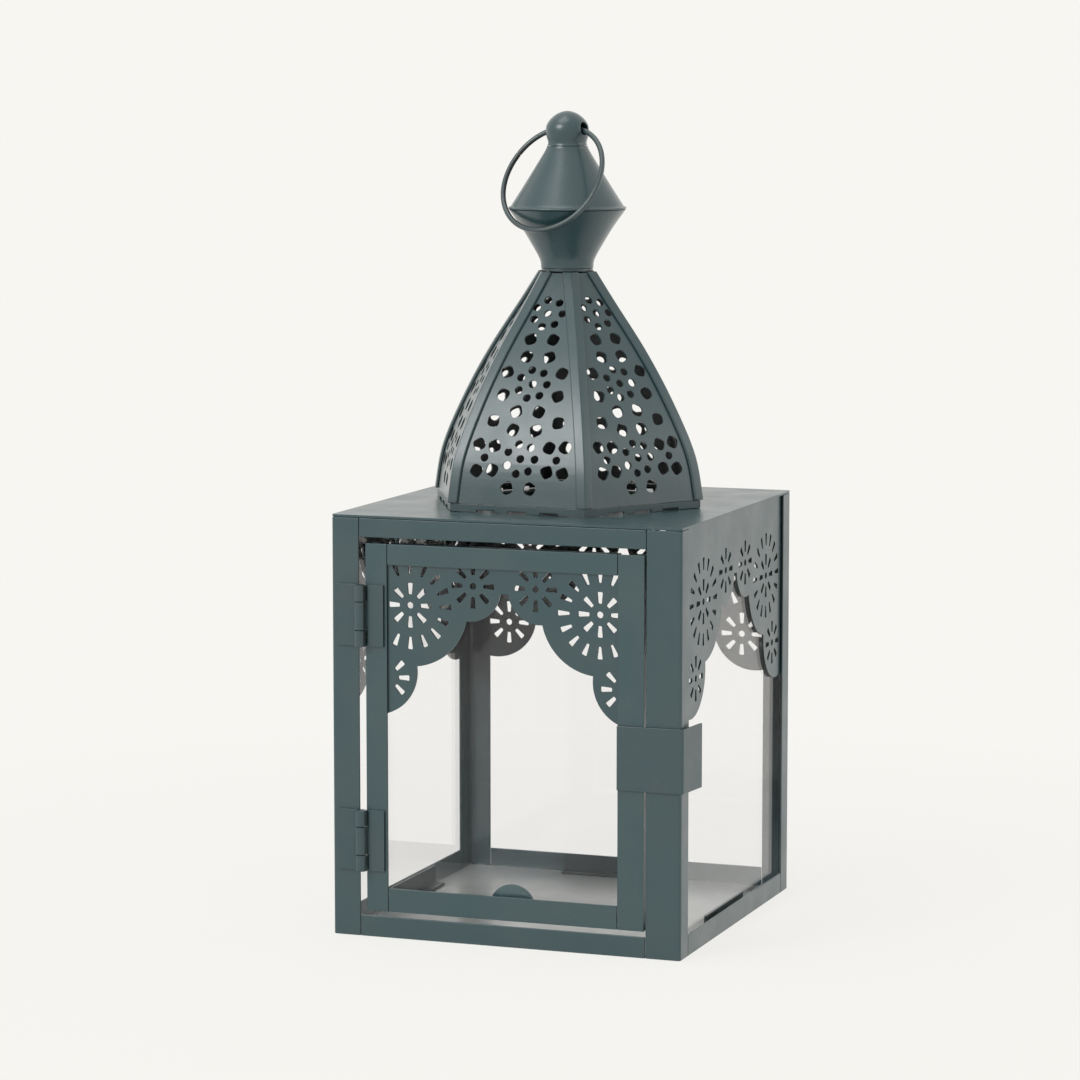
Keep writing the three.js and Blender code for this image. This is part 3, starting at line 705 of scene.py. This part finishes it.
body_height = 168.2
arch_drop = 28.7
fret_thickness = 0.8
flower_rows = [
    {"across": 13.0, "drop": 26.1, "kind": 1, "lobe": (1.6, 1.1, 13.0)},
    {"across": 39.4, "drop": 34.9, "kind": 2, "lobe": (0.0, 0.0, 24.2)},
    {"across": 48.7, "drop": 63.8, "kind": 1, "lobe": (5.6, -2.6, 17.8)},
]


def fret_piece(reach, top, spread, lift, sight):
    """A fretted sheet in its own plane: x across, y up, drawn out along z.

    The sheet's middle flowers keep their place, and the spread moves the others outwards."""
    points, kinds, lobes = [], [], []
    for row in flower_rows:
        moved = 0 if row is flower_rows[0] else spread
        x, y = row["across"] + moved, body_height + lift - row["drop"]
        out, down, radius = row["lobe"]
        lobes.append((x + out, y - down, radius))
        points += [(-x, y), (x, y)]
        kinds += [row["kind"]] * 2
    right = scallops(lobes, body_height + lift - arch_drop, reach)
    left = [(-x, y) for x, y in reversed(right)]
    outline = [(-reach, top), *left, *right, (reach, top)]
    piece = outline_piece([outline], points, kinds)
    values = {"Thickness": fret_thickness, "Sight Across": sight[0], "Sight Top": sight[1]}
    return run_tree(piece, fretted, values, fret_paint)


def placed(piece, matrix):
    """Puts a piece drawn in millimetres in its place in metres, faces outwards."""
    piece.data.transform(matrix @ Matrix.Scale(MM, 4))
    outwards(piece.data)
    return piece


# %% Set the four fretted sheets
def standing(y_face, quarter_turns=0, x_shift=0.0):
    """Stands a sheet up with its drawn-out side at y_face, then turns it round Z."""
    upright = Matrix.Translation((x_shift * MM, y_face * MM, 0)) @ Matrix.Rotation(math.pi / 2, 4, "X")
    return Matrix.Rotation(quarter_turns * math.pi / 2, 4, "Z") @ upright


half_body = 72.5
post_side = 9.6
fret_face = 71.4
fret_reach = 70.4
frame_top = 167.1
side_spread, side_lift = 2.5, 2.9
for side, turns in (("right", 1), ("back", 2), ("left", 3)):
    side_sight = (half_body - post_side, frame_top)
    sheet = fret_piece(fret_reach, frame_top, side_spread, side_lift, side_sight)
    placed(sheet, standing(-fret_face + fret_thickness, turns))
    stands_for(sheet, "fret_" + side, fret_paint)

door_left, door_right = (corner.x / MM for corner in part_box("door_fret"))
door_fret_top = 156.1
door_sight = (47.9, 149.0)
door_sheet = fret_piece((door_right - door_left) / 2, door_fret_top, 0, 0, door_sight)
placed(door_sheet, standing(-fret_face + fret_thickness, 0, (door_left + door_right) / 2))
stands_for(door_sheet, "door_fret", fret_paint)
print("faces in the door's fretwork:", len(door_sheet.data.polygons))

# %% [markdown]
# ## Floor and top plate
# The floor is a plain square of sheet. The top plate has rounded corners and a six-sided
# opening under the dome. Both go through the same filling group, with smoother corners
# than the CAD has.

# %% The cut plate tree
plate_tree, plate_in, plate_out = geometry_tree("cut_plate", {"Thickness": 1.0, "Material": material_kind})
plate_curves = put(plate_tree, "GeometryNodeMeshToCurve", {"Mesh": plate_in["Geometry"]})
plate_solid = thickened(plate_tree, plate_curves.outputs["Curve"], plate_in["Thickness"])
finish_tree(plate_tree, plate_solid, plate_in, plate_out)


def box_loop(x0, y0, x1, y1):
    """The corners of an upright rectangle."""
    return [(x0, y0), (x1, y0), (x1, y1), (x0, y1)]


def rounded_loop(reach, radius, steps=8):
    """A square round the origin with rounded corners."""
    middle = reach - radius
    loop = []
    for corner, (across, deep) in enumerate([(1, 1), (-1, 1), (-1, -1), (1, -1)]):
        loop += arc(across * middle, deep * middle, radius, math.pi / 2 * corner, math.pi / 2, steps)
    return loop


def plate_piece(loops, low, thickness, material):
    """A flat horizontal plate with openings, from z low upwards, in millimetres."""
    piece = outline_piece(loops)
    run_tree(piece, plate_tree, {"Thickness": thickness}, material)
    return placed(piece, Matrix.Translation((0, 0, low * MM)))


# %% Floor plate
floor_half = 71.4
floor_thickness = 1.0
floor_outline = box_loop(-floor_half, -floor_half, floor_half, floor_half)
floor_piece = plate_piece([floor_outline], 0, floor_thickness, floor_paint)
stands_for(edge_rounded(floor_piece, width=0.12 * MM), "floor_plate", floor_paint)

# %% [markdown]
# Curved and folded pieces are lofts: rings of points, set one after another along the
# piece and joined to a closed body. The clips, the dome and the carrying ring are made so.

# %% Lofts
def loft(rings):
    """A closed piece through rings of equal length, in millimetres."""
    count = len(rings[0])
    corners = [corner for ring in rings for corner in ring]
    faces = [tuple(range(count))[::-1], tuple(range(len(corners) - count, len(corners)))]
    for i in range(len(rings) - 1):
        for j in range(count):
            a, b = i * count + j, i * count + (j + 1) % count
            faces.append((a, b, b + count, a + count))
    piece = new_piece(corners, [], faces)
    outwards(piece.data)
    return piece


# %% [markdown]
# Each fixed pane stands in a short angle strip on the floor, and a half-round tab on the
# door's bottom rail holds the door pane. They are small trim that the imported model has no
# node for, so each is drawn here and rides on the body of what carries it.

# %% Pane clips and door tab
def added_trim(piece, name, carrier, material):
    """Finishes a small piece that has no CAD node; it rides with its carrier's body."""
    stands_alone(edge_rounded(piece, width=0.15 * MM), name, material)
    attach(piece, frame["nodes"][carrier]["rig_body"])


clip_length, clip_height, clip_foot = 50, 8, 4
clip_sheet = 0.9
clip_face = 68.2
clip_low = floor_thickness + 0.2
clip_back = -clip_face + clip_sheet
clip_section = [
    (-clip_face, 0), (clip_back + clip_foot, 0), (clip_back + clip_foot, clip_sheet),
    (clip_back, clip_sheet), (clip_back, clip_height), (-clip_face, clip_height),
]
for side, turns, aside in (("right", 1, -5.5), ("back", 2, 0), ("left", 3, 0)):
    ends = [[(x, y, clip_low + z) for y, z in clip_section]
            for x in (aside - clip_length / 2, aside + clip_length / 2)]
    clip = loft(ends)
    placed(clip, Matrix.Rotation(turns * math.pi / 2, 4, "Z"))
    # The clips get the darker paint of painted shade
    added_trim(clip, "pane_clip_" + side, "pane_strip_" + side, inner_painted_shade)

tab_radius, tab_middle, tab_low = 9.7, 1.9, 14.7
tab_outline = arc(tab_middle, tab_low, tab_radius, 0, math.pi, steps=32)
tab = outline_piece([tab_outline])
run_tree(tab, plate_tree, {"Thickness": clip_sheet}, door_paint)
placed(tab, standing(clip_back))
added_trim(tab, "door_pane_tab", "door_rail_bottom", door_paint)

# %% Top plate
dome_turn = math.radians(-3.5)
hexagon_half = math.cos(math.pi / 6)
dome_foot_radius = 57.8
plate_lip = 8
plate_under, plate_sheet = 167.3, 0.9
post_fold = 1.2


def hexagon_loop(apothem):
    """Six corners, with one flat side towards the door apart from the dome's turn."""
    return arc(0, 0, apothem / hexagon_half, dome_turn - math.pi / 3, 2 * math.pi, 6)[:-1]


top_loops = [rounded_loop(half_body, post_fold), hexagon_loop(dome_foot_radius * hexagon_half - plate_lip)]
top_piece = plate_piece(top_loops, plate_under, plate_sheet, steel_paint)
stands_for(edge_rounded(top_piece, width=0.35 * MM, segments=3), "top_plate", steel_paint)

# %% [markdown]
# ## Pierced dome
# Each of the six panels is sheet bent over a bell-shaped former, so it is curved upwards
# and straight across. The holes are punched square to the sheet: three flowers one above
# the other, each with a ring of round buds and a ring of drops. A tree sets a cutter on
# every hole mark, turned square to the panel, and takes them all out at once.

# %% The bell outline
dome_outline = [(dome_foot_radius, 0), (54.3, 17.6), (45, 37.9), (33.3, 58), (19.2, 78.2), (11.6, 89.4)]
panel_foot = 171.6
panel_slope = math.tan(math.pi / 6)
panel_sheet = 0.8
panel_seam = 0.2


def through(points, steps):
    """A smooth curve through points, as a list of (x, y), with steps parts to each span."""
    made = []
    last = len(points) - 1
    for i in range(last):
        before, here = points[max(i - 1, 0)], points[i]
        there, after = points[i + 1], points[min(i + 2, last)]
        for k in range(steps + (i == last - 1)):
            t = k / steps
            row = []
            for a, b, c, d in zip(before, here, there, after):
                v0, v1 = (c - a) / 2, (d - b) / 2
                cubed, squared = 2 * b - 2 * c + v0 + v1, 3 * c - 3 * b - 2 * v0 - v1
                row.append(cubed * t ** 3 + squared * t ** 2 + v0 * t + b)
            made.append(tuple(row))
    return made


bell_points = through([(r * hexagon_half, panel_foot + z) for r, z in dome_outline], steps=60)
bell_steps = [math.dist(a, b) for a, b in zip(bell_points, bell_points[1:])]
bell_length = sum(bell_steps)
print("panel length up the bell, mm:", round(bell_length, 2))


def bell_at(up, out=0.0):
    """Reach, height and slope of the bell at a distance up it, moved out square to it."""
    left = min(max(up, 0.0), bell_length)
    for start, end, step in zip(bell_points, bell_points[1:], bell_steps):
        if left <= step or end == bell_points[-1]:
            break
        left -= step
    share = left / step
    slope = ((end[0] - start[0]) / step, (end[1] - start[1]) / step)
    x = start[0] + (end[0] - start[0]) * share
    z = start[1] + (end[1] - start[1]) * share
    return x + slope[1] * out, z - slope[0] * out, slope


# %% Stations up a panel
panel_stations = 30
stations = [bell_length * i / panel_stations for i in range(panel_stations + 1)]


def panel_ring(up):
    """The panel's section at a height: two outer corners, then two inner ones."""
    outer_x, outer_z, _ = bell_at(up)
    inner_x, inner_z, _ = bell_at(up, -panel_sheet)
    outer_y, inner_y = outer_x * panel_slope - panel_seam, inner_x * panel_slope - panel_seam
    return [(outer_x, -outer_y, outer_z), (outer_x, outer_y, outer_z),
            (inner_x, inner_y, inner_z), (inner_x, -inner_y, inner_z)]


# %% Hole marks
pierce_margin = 1.75
blossom_foot, blossom_pitch = 18.6, 31.1
bud_ring = {"radius": 6.1, "count": 7, "size": 1.95}
drop_ring = {"radius": 13.0, "count": 8, "half": 2.75}
side_drops = [(18.7, -5.4), (18.7, 5.4), (14.1, 15.4)]
side_bud = 15.4
marks = []


def add_mark(across, up, size, kind, angle=0.0):
    """Keeps a hole's place, its turn on the panel and its kind, if it clears the edges.

    The ribs may cover part of a hole."""
    off_ends = up - size < 0 or up + size > bell_length
    if off_ends or abs(across) + size >= bell_at(up)[0] * panel_slope - pierce_margin:
        return
    x, z, slope = bell_at(up)
    axes = Matrix(((0, slope[0], slope[1]), (1, 0, 0), (0, slope[1], -slope[0])))
    turned = axes @ Matrix.Rotation(angle - math.pi / 2, 3, "Z")
    marks.append(((x, across, z), turned.to_euler(), kind))


def add_ring(middle, ring, size, kind, first=0.0):
    """Marks for a ring of holes; the first one is a share of a step past the panel's right."""
    for i in range(ring["count"]):
        angle = 2 * math.pi * (i + first) / ring["count"]
        aside, rise = ring["radius"] * math.cos(angle), ring["radius"] * math.sin(angle)
        add_mark(aside, middle + rise, size, kind, angle if kind == 2 else 0.0)


middle = blossom_foot
while middle < bell_length:
    add_mark(0, middle, bud_ring["size"], 1)
    add_ring(middle, bud_ring, bud_ring["size"], 1)
    add_ring(middle, drop_ring, drop_ring["half"], 2, 0.5)
    if middle == blossom_foot:
        for side in (-1, 1):
            add_mark(side * side_bud, middle, bud_ring["size"], 1)
            for aside, rise in side_drops:
                add_mark(side * aside, middle + rise, drop_ring["half"], 2, math.atan2(rise, side * aside))
    middle += blossom_pitch
print("holes in a panel:", len(marks))

# %% The piercing tree
pierce, pierce_in, pierce_out = geometry_tree("pierced_panel", {
    "Marks": "NodeSocketObject", "Bud Radius": 1.7, "Drop Width": 6.9, "Drop Point": 4.2,
    "Drop Base": 3.0, "Corner": 1.75, "Depth": 3.2, "Material": material_kind})
mark_points = put(pierce, "GeometryNodeObjectInfo", {"Object": pierce_in["Marks"]}).outputs["Geometry"]
mark_kind = kind_attribute(pierce)
mark_turn = put(pierce, "GeometryNodeInputNamedAttribute", {"Name": "turn"}, data_type="FLOAT_VECTOR")
bud_curve = put(pierce, "GeometryNodeCurvePrimitiveCircle", {
    "Resolution": 16, "Radius": pierce_in["Bud Radius"]}, mode="RADIUS").outputs["Curve"]
drop_curve = put(pierce, "GeometryNodeCurvePrimitiveQuadrilateral", {
    "Width": pierce_in["Drop Width"],
    "Bottom Height": pierce_in["Drop Point"],
    "Top Height": pierce_in["Drop Base"],
}, mode="KITE")
half_depth = arithmetic(pierce, "MULTIPLY", pierce_in["Depth"], -0.5)
depth_offset = put(pierce, "ShaderNodeCombineXYZ", {"Z": half_depth}).outputs["Vector"]


def cutters_on(curve, kind):
    """A cutter of a curve's outline on every mark of a kind, centred on the sheet."""
    centred = put(pierce, "GeometryNodeTransform", {
        "Geometry": thickened(pierce, curve, pierce_in["Depth"]), "Translation": depth_offset})
    chosen = put(pierce, "FunctionNodeCompare", {2: mark_kind, 3: kind}, data_type="INT", operation="EQUAL")
    return on_points(pierce, mark_points, centred.outputs["Geometry"],
                     Selection=chosen.outputs["Result"], Rotation=mark_turn.outputs["Attribute"])


drop_round = rounded_corners(pierce, drop_curve, pierce_in["Corner"])
cutters = realized(pierce, joined(pierce, (cutters_on(bud_curve, 1), cutters_on(drop_round, 2))))
punched = put(pierce, "GeometryNodeMeshBoolean", {
    "Mesh 1": pierce_in["Geometry"], "Mesh 2": cutters}, operation="DIFFERENCE", solver="MANIFOLD")
finish_tree(pierce, punched.outputs["Mesh"], pierce_in, pierce_out)

# %% Punch one panel and set six
marks_object = new_piece([place for place, _, _ in marks])
marks_given = marks_object.data.attributes
marks_given.new("flower", "INT", "POINT").data.foreach_set("value", [kind for _, _, kind in marks])
turn_values = [value for _, turn, _ in marks for value in turn]
marks_given.new("turn", "FLOAT_VECTOR", "POINT").data.foreach_set("vector", turn_values)
pattern_panel = loft([panel_ring(up) for up in stations])
run_tree(pattern_panel, pierce, {"Marks": marks_object}, dome_paint)
print("faces in a panel:", len(pattern_panel.data.polygons))


def set_round(pattern, node, angle):
    """A copy of a dome pattern made for +X, turned round the lantern's axis and set in place."""
    piece = new_piece()
    piece.data = pattern.data.copy()
    placed(piece, Matrix.Rotation(angle, 4, "Z"))
    stands_for(piece, node, dome_paint, angle=math.radians(30))


dome_start = dome_turn - math.pi / 2
for k in range(6):
    set_round(pattern_panel, f"dome_panel_{k + 1}", dome_start + k * math.pi / 3)

# %% [markdown]
# The hips between the panels are covered by folded strips. A strip's section is a shallow
# chevron; a bevel rounds its fold and its edges.

# %% Hip ribs
rib_half = 3.7
rib_sheet = 0.9
hip = math.pi / 6


def rib_ring(up):
    """A chevron over the hip: three outer corners, then three inner ones."""
    rows = []
    for out in (panel_seam + rib_sheet, panel_seam):
        reach, z, _ = bell_at(up, out)
        aside = reach * panel_slope - rib_half
        left, right = (
            (reach * math.cos(hip) + aside * math.sin(hip),
             side * (reach * math.sin(hip) - aside * math.cos(hip)), z) for side in (-1, 1))
        rows.append([left, (reach / math.cos(hip), 0, z), right])
    return rows[0] + rows[1][::-1]


pattern_rib = edge_rounded(loft([rib_ring(up) for up in stations]), width=0.28)
for k in range(6):
    set_round(pattern_rib, f"dome_rib_{k + 1}", dome_start + (k + 0.5) * math.pi / 3)
for helper in (marks_object, pattern_panel, pattern_rib):
    bpy.data.objects.remove(helper)

# %% [markdown]
# ## Finial
# The finial is spun sheet: a trumpet and a cone that meet at a rim, and a hollow knob on
# top. Spinning a closed profile round Z gives each one wall and cavity at once. The rim
# carries a small bead where the two spinnings are pressed together.

# %% Spinning
def spun(profile, segments=96, centre=(0, 0)):
    """A body of revolution from a closed profile of (radius, height), in millimetres."""
    count = len(profile)
    corners, faces = [], []
    for k in range(segments):
        turn = 2 * math.pi * k / segments
        corners += [(centre[0] + r * math.cos(turn), centre[1] + r * math.sin(turn), z) for r, z in profile]
    for k in range(segments):
        here, there = k * count, (k + 1) % segments * count
        for j in range(count):
            after = (j + 1) % count
            faces.append((here + j, there + j, there + after, here + after))
    piece = new_piece(corners, [], faces)
    outwards(piece.data, 0.0005)
    piece.data.transform(Matrix.Scale(MM, 4))
    return piece


def walled(outside, wall):
    """A closed profile: the outside, then the same line moved in by the wall."""
    return outside + [(r - wall, z) for r, z in reversed(outside)]


def foot_of(node):
    """A node's lowest height in millimetres."""
    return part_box(node)[0].z / MM


# %% Trumpet and cone
trumpet_foot, cone_foot, knob_foot = (foot_of("finial_" + part) for part in ("trumpet", "cone", "knob"))
spun_wall = 1.2
rim_radius = 23.4
bead_radius, bead_inset, bead_height = 0.45, 0.15, 1.1
trumpet_line = [(r, trumpet_foot + z) for r, z in through(
    [(10.5, 0), (11.1, 3.5), (14.6, 9.9), (18.7, 16.6), (rim_radius, 23.2)], steps=10)]
cone_line = [(r, cone_foot + z) for r, z in through(
    [(rim_radius, 0), (16.8, 10.4), (9.4, 22.4), (8.1, 25.1)], steps=10)]
bead = arc(rim_radius - bead_inset, cone_foot + bead_radius, bead_radius, -math.pi / 2, math.pi, steps=6)
cone_line = bead + [point for point in cone_line if point[1] > cone_foot + bead_height]
stands_for(spun(walled(trumpet_line, spun_wall)), "finial_trumpet", dome_paint)
stands_for(spun(walled(cone_line, spun_wall)), "finial_cone", dome_paint)

# %% Knob with its two ring holes
knob_outline = [(8.0, 0), (7.7, 1.2), (8.3, 3.5), (8.65, 6), (8.2, 8.4), (6.5, 10.8), (3.6, 12.9), (0, 13.8)]
knob_radius = max(r for r, _ in knob_outline)
hole_radius, hole_rise = 2.6, 6.8
drill_reach = 14
crown_steps = 6
# The last point is the mirror image of the one before the top, so that the crown is round
knob_curve = through([*knob_outline, (-3.6, 12.9)], crown_steps)[:-crown_steps]


def joint_named(name):
    """A joint of the frame."""
    return next(joint for joint in frame["joints"] if joint["name"] == name)


ring_axis = Vector(joint_named("ring_swing")["axis"])
ring_centre = Vector(joint_named("ring_swing")["pos_m"])


def knob_line(inset):
    """The knob's outline, moved in square to itself."""
    line = []
    for i, (r, z) in enumerate(knob_curve):
        before, after = knob_curve[max(i - 1, 0)], knob_curve[min(i + 1, len(knob_curve) - 1)]
        step = math.dist(before, after)
        rise_r, rise_z = (after[0] - before[0]) / step, (after[1] - before[1]) / step
        line.append((max(r - rise_z * inset, 0), knob_foot + max(z + rise_r * inset, 0)))
    return line


knob = spun(knob_line(0) + knob_line(spun_wall)[::-1])
drill = spun(box_loop(0, -drill_reach, hole_radius, drill_reach), segments=40)
drill_turn = ring_axis.to_track_quat("Z", "Y").to_matrix().to_4x4()
drill.data.transform(Matrix.Translation((0, 0, (knob_foot + hole_rise) * MM)) @ drill_turn)
boolean(knob, drill, "DIFFERENCE")
stands_for(edge_rounded(knob, width=0.25 * MM), "finial_knob", dome_paint)

# %% [markdown]
# ## Carrying ring
# The ring is 2.1 mm wire bent round a former, with its two ends butted. A hand-bent ring
# is never quite true, so its radius and its plane wander by a tenth of a millimetre or
# two. A wire is easiest as rings of points carried along a path.

# %% Bend the ring
wire_radius, ring_radius = 1.05, 22.9
ring_reach = math.sqrt(ring_radius ** 2 - (knob_radius - spun_wall / 2) ** 2)
rest_lean = math.radians(28.7)
butt_turn = math.radians(118)
cap_length, cap_share = 0.12, 0.82
forward = ring_axis.cross(Vector((0, 0, 1))).normalized()
if forward.y > 0:
    forward = -forward
hanging = forward * math.sin(rest_lean) - Vector((0, 0, 1)) * math.cos(rest_lean)
ring_normal = ring_axis.cross(hanging).normalized()
ring_middle = ring_centre / MM + hanging * ring_reach


def wire_piece(steps, sides, butt_gap):
    """An open wire round the ring, with ends that narrow a little and nearly meet."""
    gap = butt_gap / ring_radius
    rings = []
    # The wander and the lift are a hand-bent ring's faults, in millimetres
    for i in range(steps + 1):
        turn = butt_turn + gap / 2 + (2 * math.pi - gap) * i / steps
        wander = 0.12 * math.sin(2 * turn + 0.4) + 0.05 * math.sin(5 * turn + 1.1)
        lift = 0.10 * math.sin(3 * turn + 0.8)
        away = hanging * math.cos(turn) + ring_axis * math.sin(turn)
        rings.append((ring_middle + away * (ring_radius + wander) + ring_normal * lift, away, 1.0))
    caps = []
    for end, beside in ((0, 1), (-1, -2)):
        step = (rings[end][0] - rings[beside][0]).normalized()
        caps.append((rings[end][0] + step * cap_length, rings[end][1], cap_share))
    rows = []
    for place, away, share in [caps[0], *rings, caps[1]]:
        row = []
        for k in range(sides):
            angle = 2 * math.pi * k / sides
            aside = away * math.cos(angle) + ring_normal * math.sin(angle)
            row.append(tuple(place + aside * wire_radius * share))
        rows.append(row)
    return loft(rows)


ring_piece = placed(wire_piece(steps=144, sides=20, butt_gap=0.35), Matrix())
stands_for(ring_piece, "carrying_ring", wire_paint, angle=math.radians(50))

# %% [markdown]
# ## Hinges
# A butt hinge is two leaves whose edges curl into knuckles round a pin. The CAD knuckles
# are coarse rings, so each leaf is made again: a plate, and for every knuckle the outline
# of sheet curled round the pin, drawn up to the knuckle's height and joined to the plate.

# %% Hinge leaves
door_axis = joint_named("door_swing")["pos_m"]
barrel_x, barrel_y = door_axis[0] / MM, door_axis[1] / MM
barrel_radius, bore_radius, pin_radius, pin_chamfer = 2.3, 1.2, 0.95, 0.25
leaf_sheet, leaf_front = 0.9, -73.6
leaf_on_post, leaf_on_door = 10.4, 9.3
hinge_height, middle_knuckle, knuckle_gap = 24.4, 11.0, 0.3
curl_lap = 1.5
end_knuckle = (hinge_height - middle_knuckle) / 2 - knuckle_gap
hinge_middles = {"lower": 38.9, "upper": 128.7}


def curled_outline(side, near, steps=40):
    """The plan of a knuckle: sheet that runs in from the leaf and curls round the pin."""
    low, high = leaf_front - barrel_y, leaf_front + leaf_sheet - barrel_y
    first, last = math.asin(low / barrel_radius), math.asin(high / barrel_radius) - 2 * math.pi
    outline = [(near, high), (near, low), *arc(0, 0, barrel_radius, first, last - first, steps)]
    return [(barrel_x + side * x, barrel_y + y) for x, y in outline]


def hinge_leaf(side, width, middle, spans):
    """One leaf: side is -1 on the post and 1 on the door; spans are its knuckles."""
    near = barrel_radius + knuckle_gap
    x0, x1 = sorted((barrel_x + side * near, barrel_x + side * width))
    corners = box_loop(x0, leaf_front, x1, leaf_front + leaf_sheet)
    leaf = plate_piece([corners], middle - hinge_height / 2, hinge_height, hinge_paint)
    bore = arc(barrel_x, barrel_y, bore_radius, 0, 2 * math.pi, steps=32)[:-1]
    for foot, head in spans:
        loops = [curled_outline(side, near + curl_lap), bore]
        boolean(leaf, plate_piece(loops, foot, head - foot, hinge_paint), "UNION")
    return edge_rounded(leaf, width=0.16 * MM)


for level, middle in hinge_middles.items():
    low, high = middle - hinge_height / 2, middle + hinge_height / 2
    ends = [(low, low + end_knuckle), (high - end_knuckle, high)]
    centre = [(middle - middle_knuckle / 2, middle + middle_knuckle / 2)]
    for owner, side, width, spans in (("post", -1, leaf_on_post, ends), ("door", 1, leaf_on_door, centre)):
        leaf = hinge_leaf(side, width, middle, spans)
        stands_for(leaf, f"hinge_leaf_{owner}_{level}", hinge_paint)
    pin_line = [(0, low), (pin_radius - pin_chamfer, low), (pin_radius, low + pin_chamfer),
                (pin_radius, high - pin_chamfer), (pin_radius - pin_chamfer, high), (0, high)]
    pin = spun(pin_line, segments=32, centre=(barrel_x, barrel_y))
    stands_for(pin, "hinge_pin_" + level, hinge_paint)
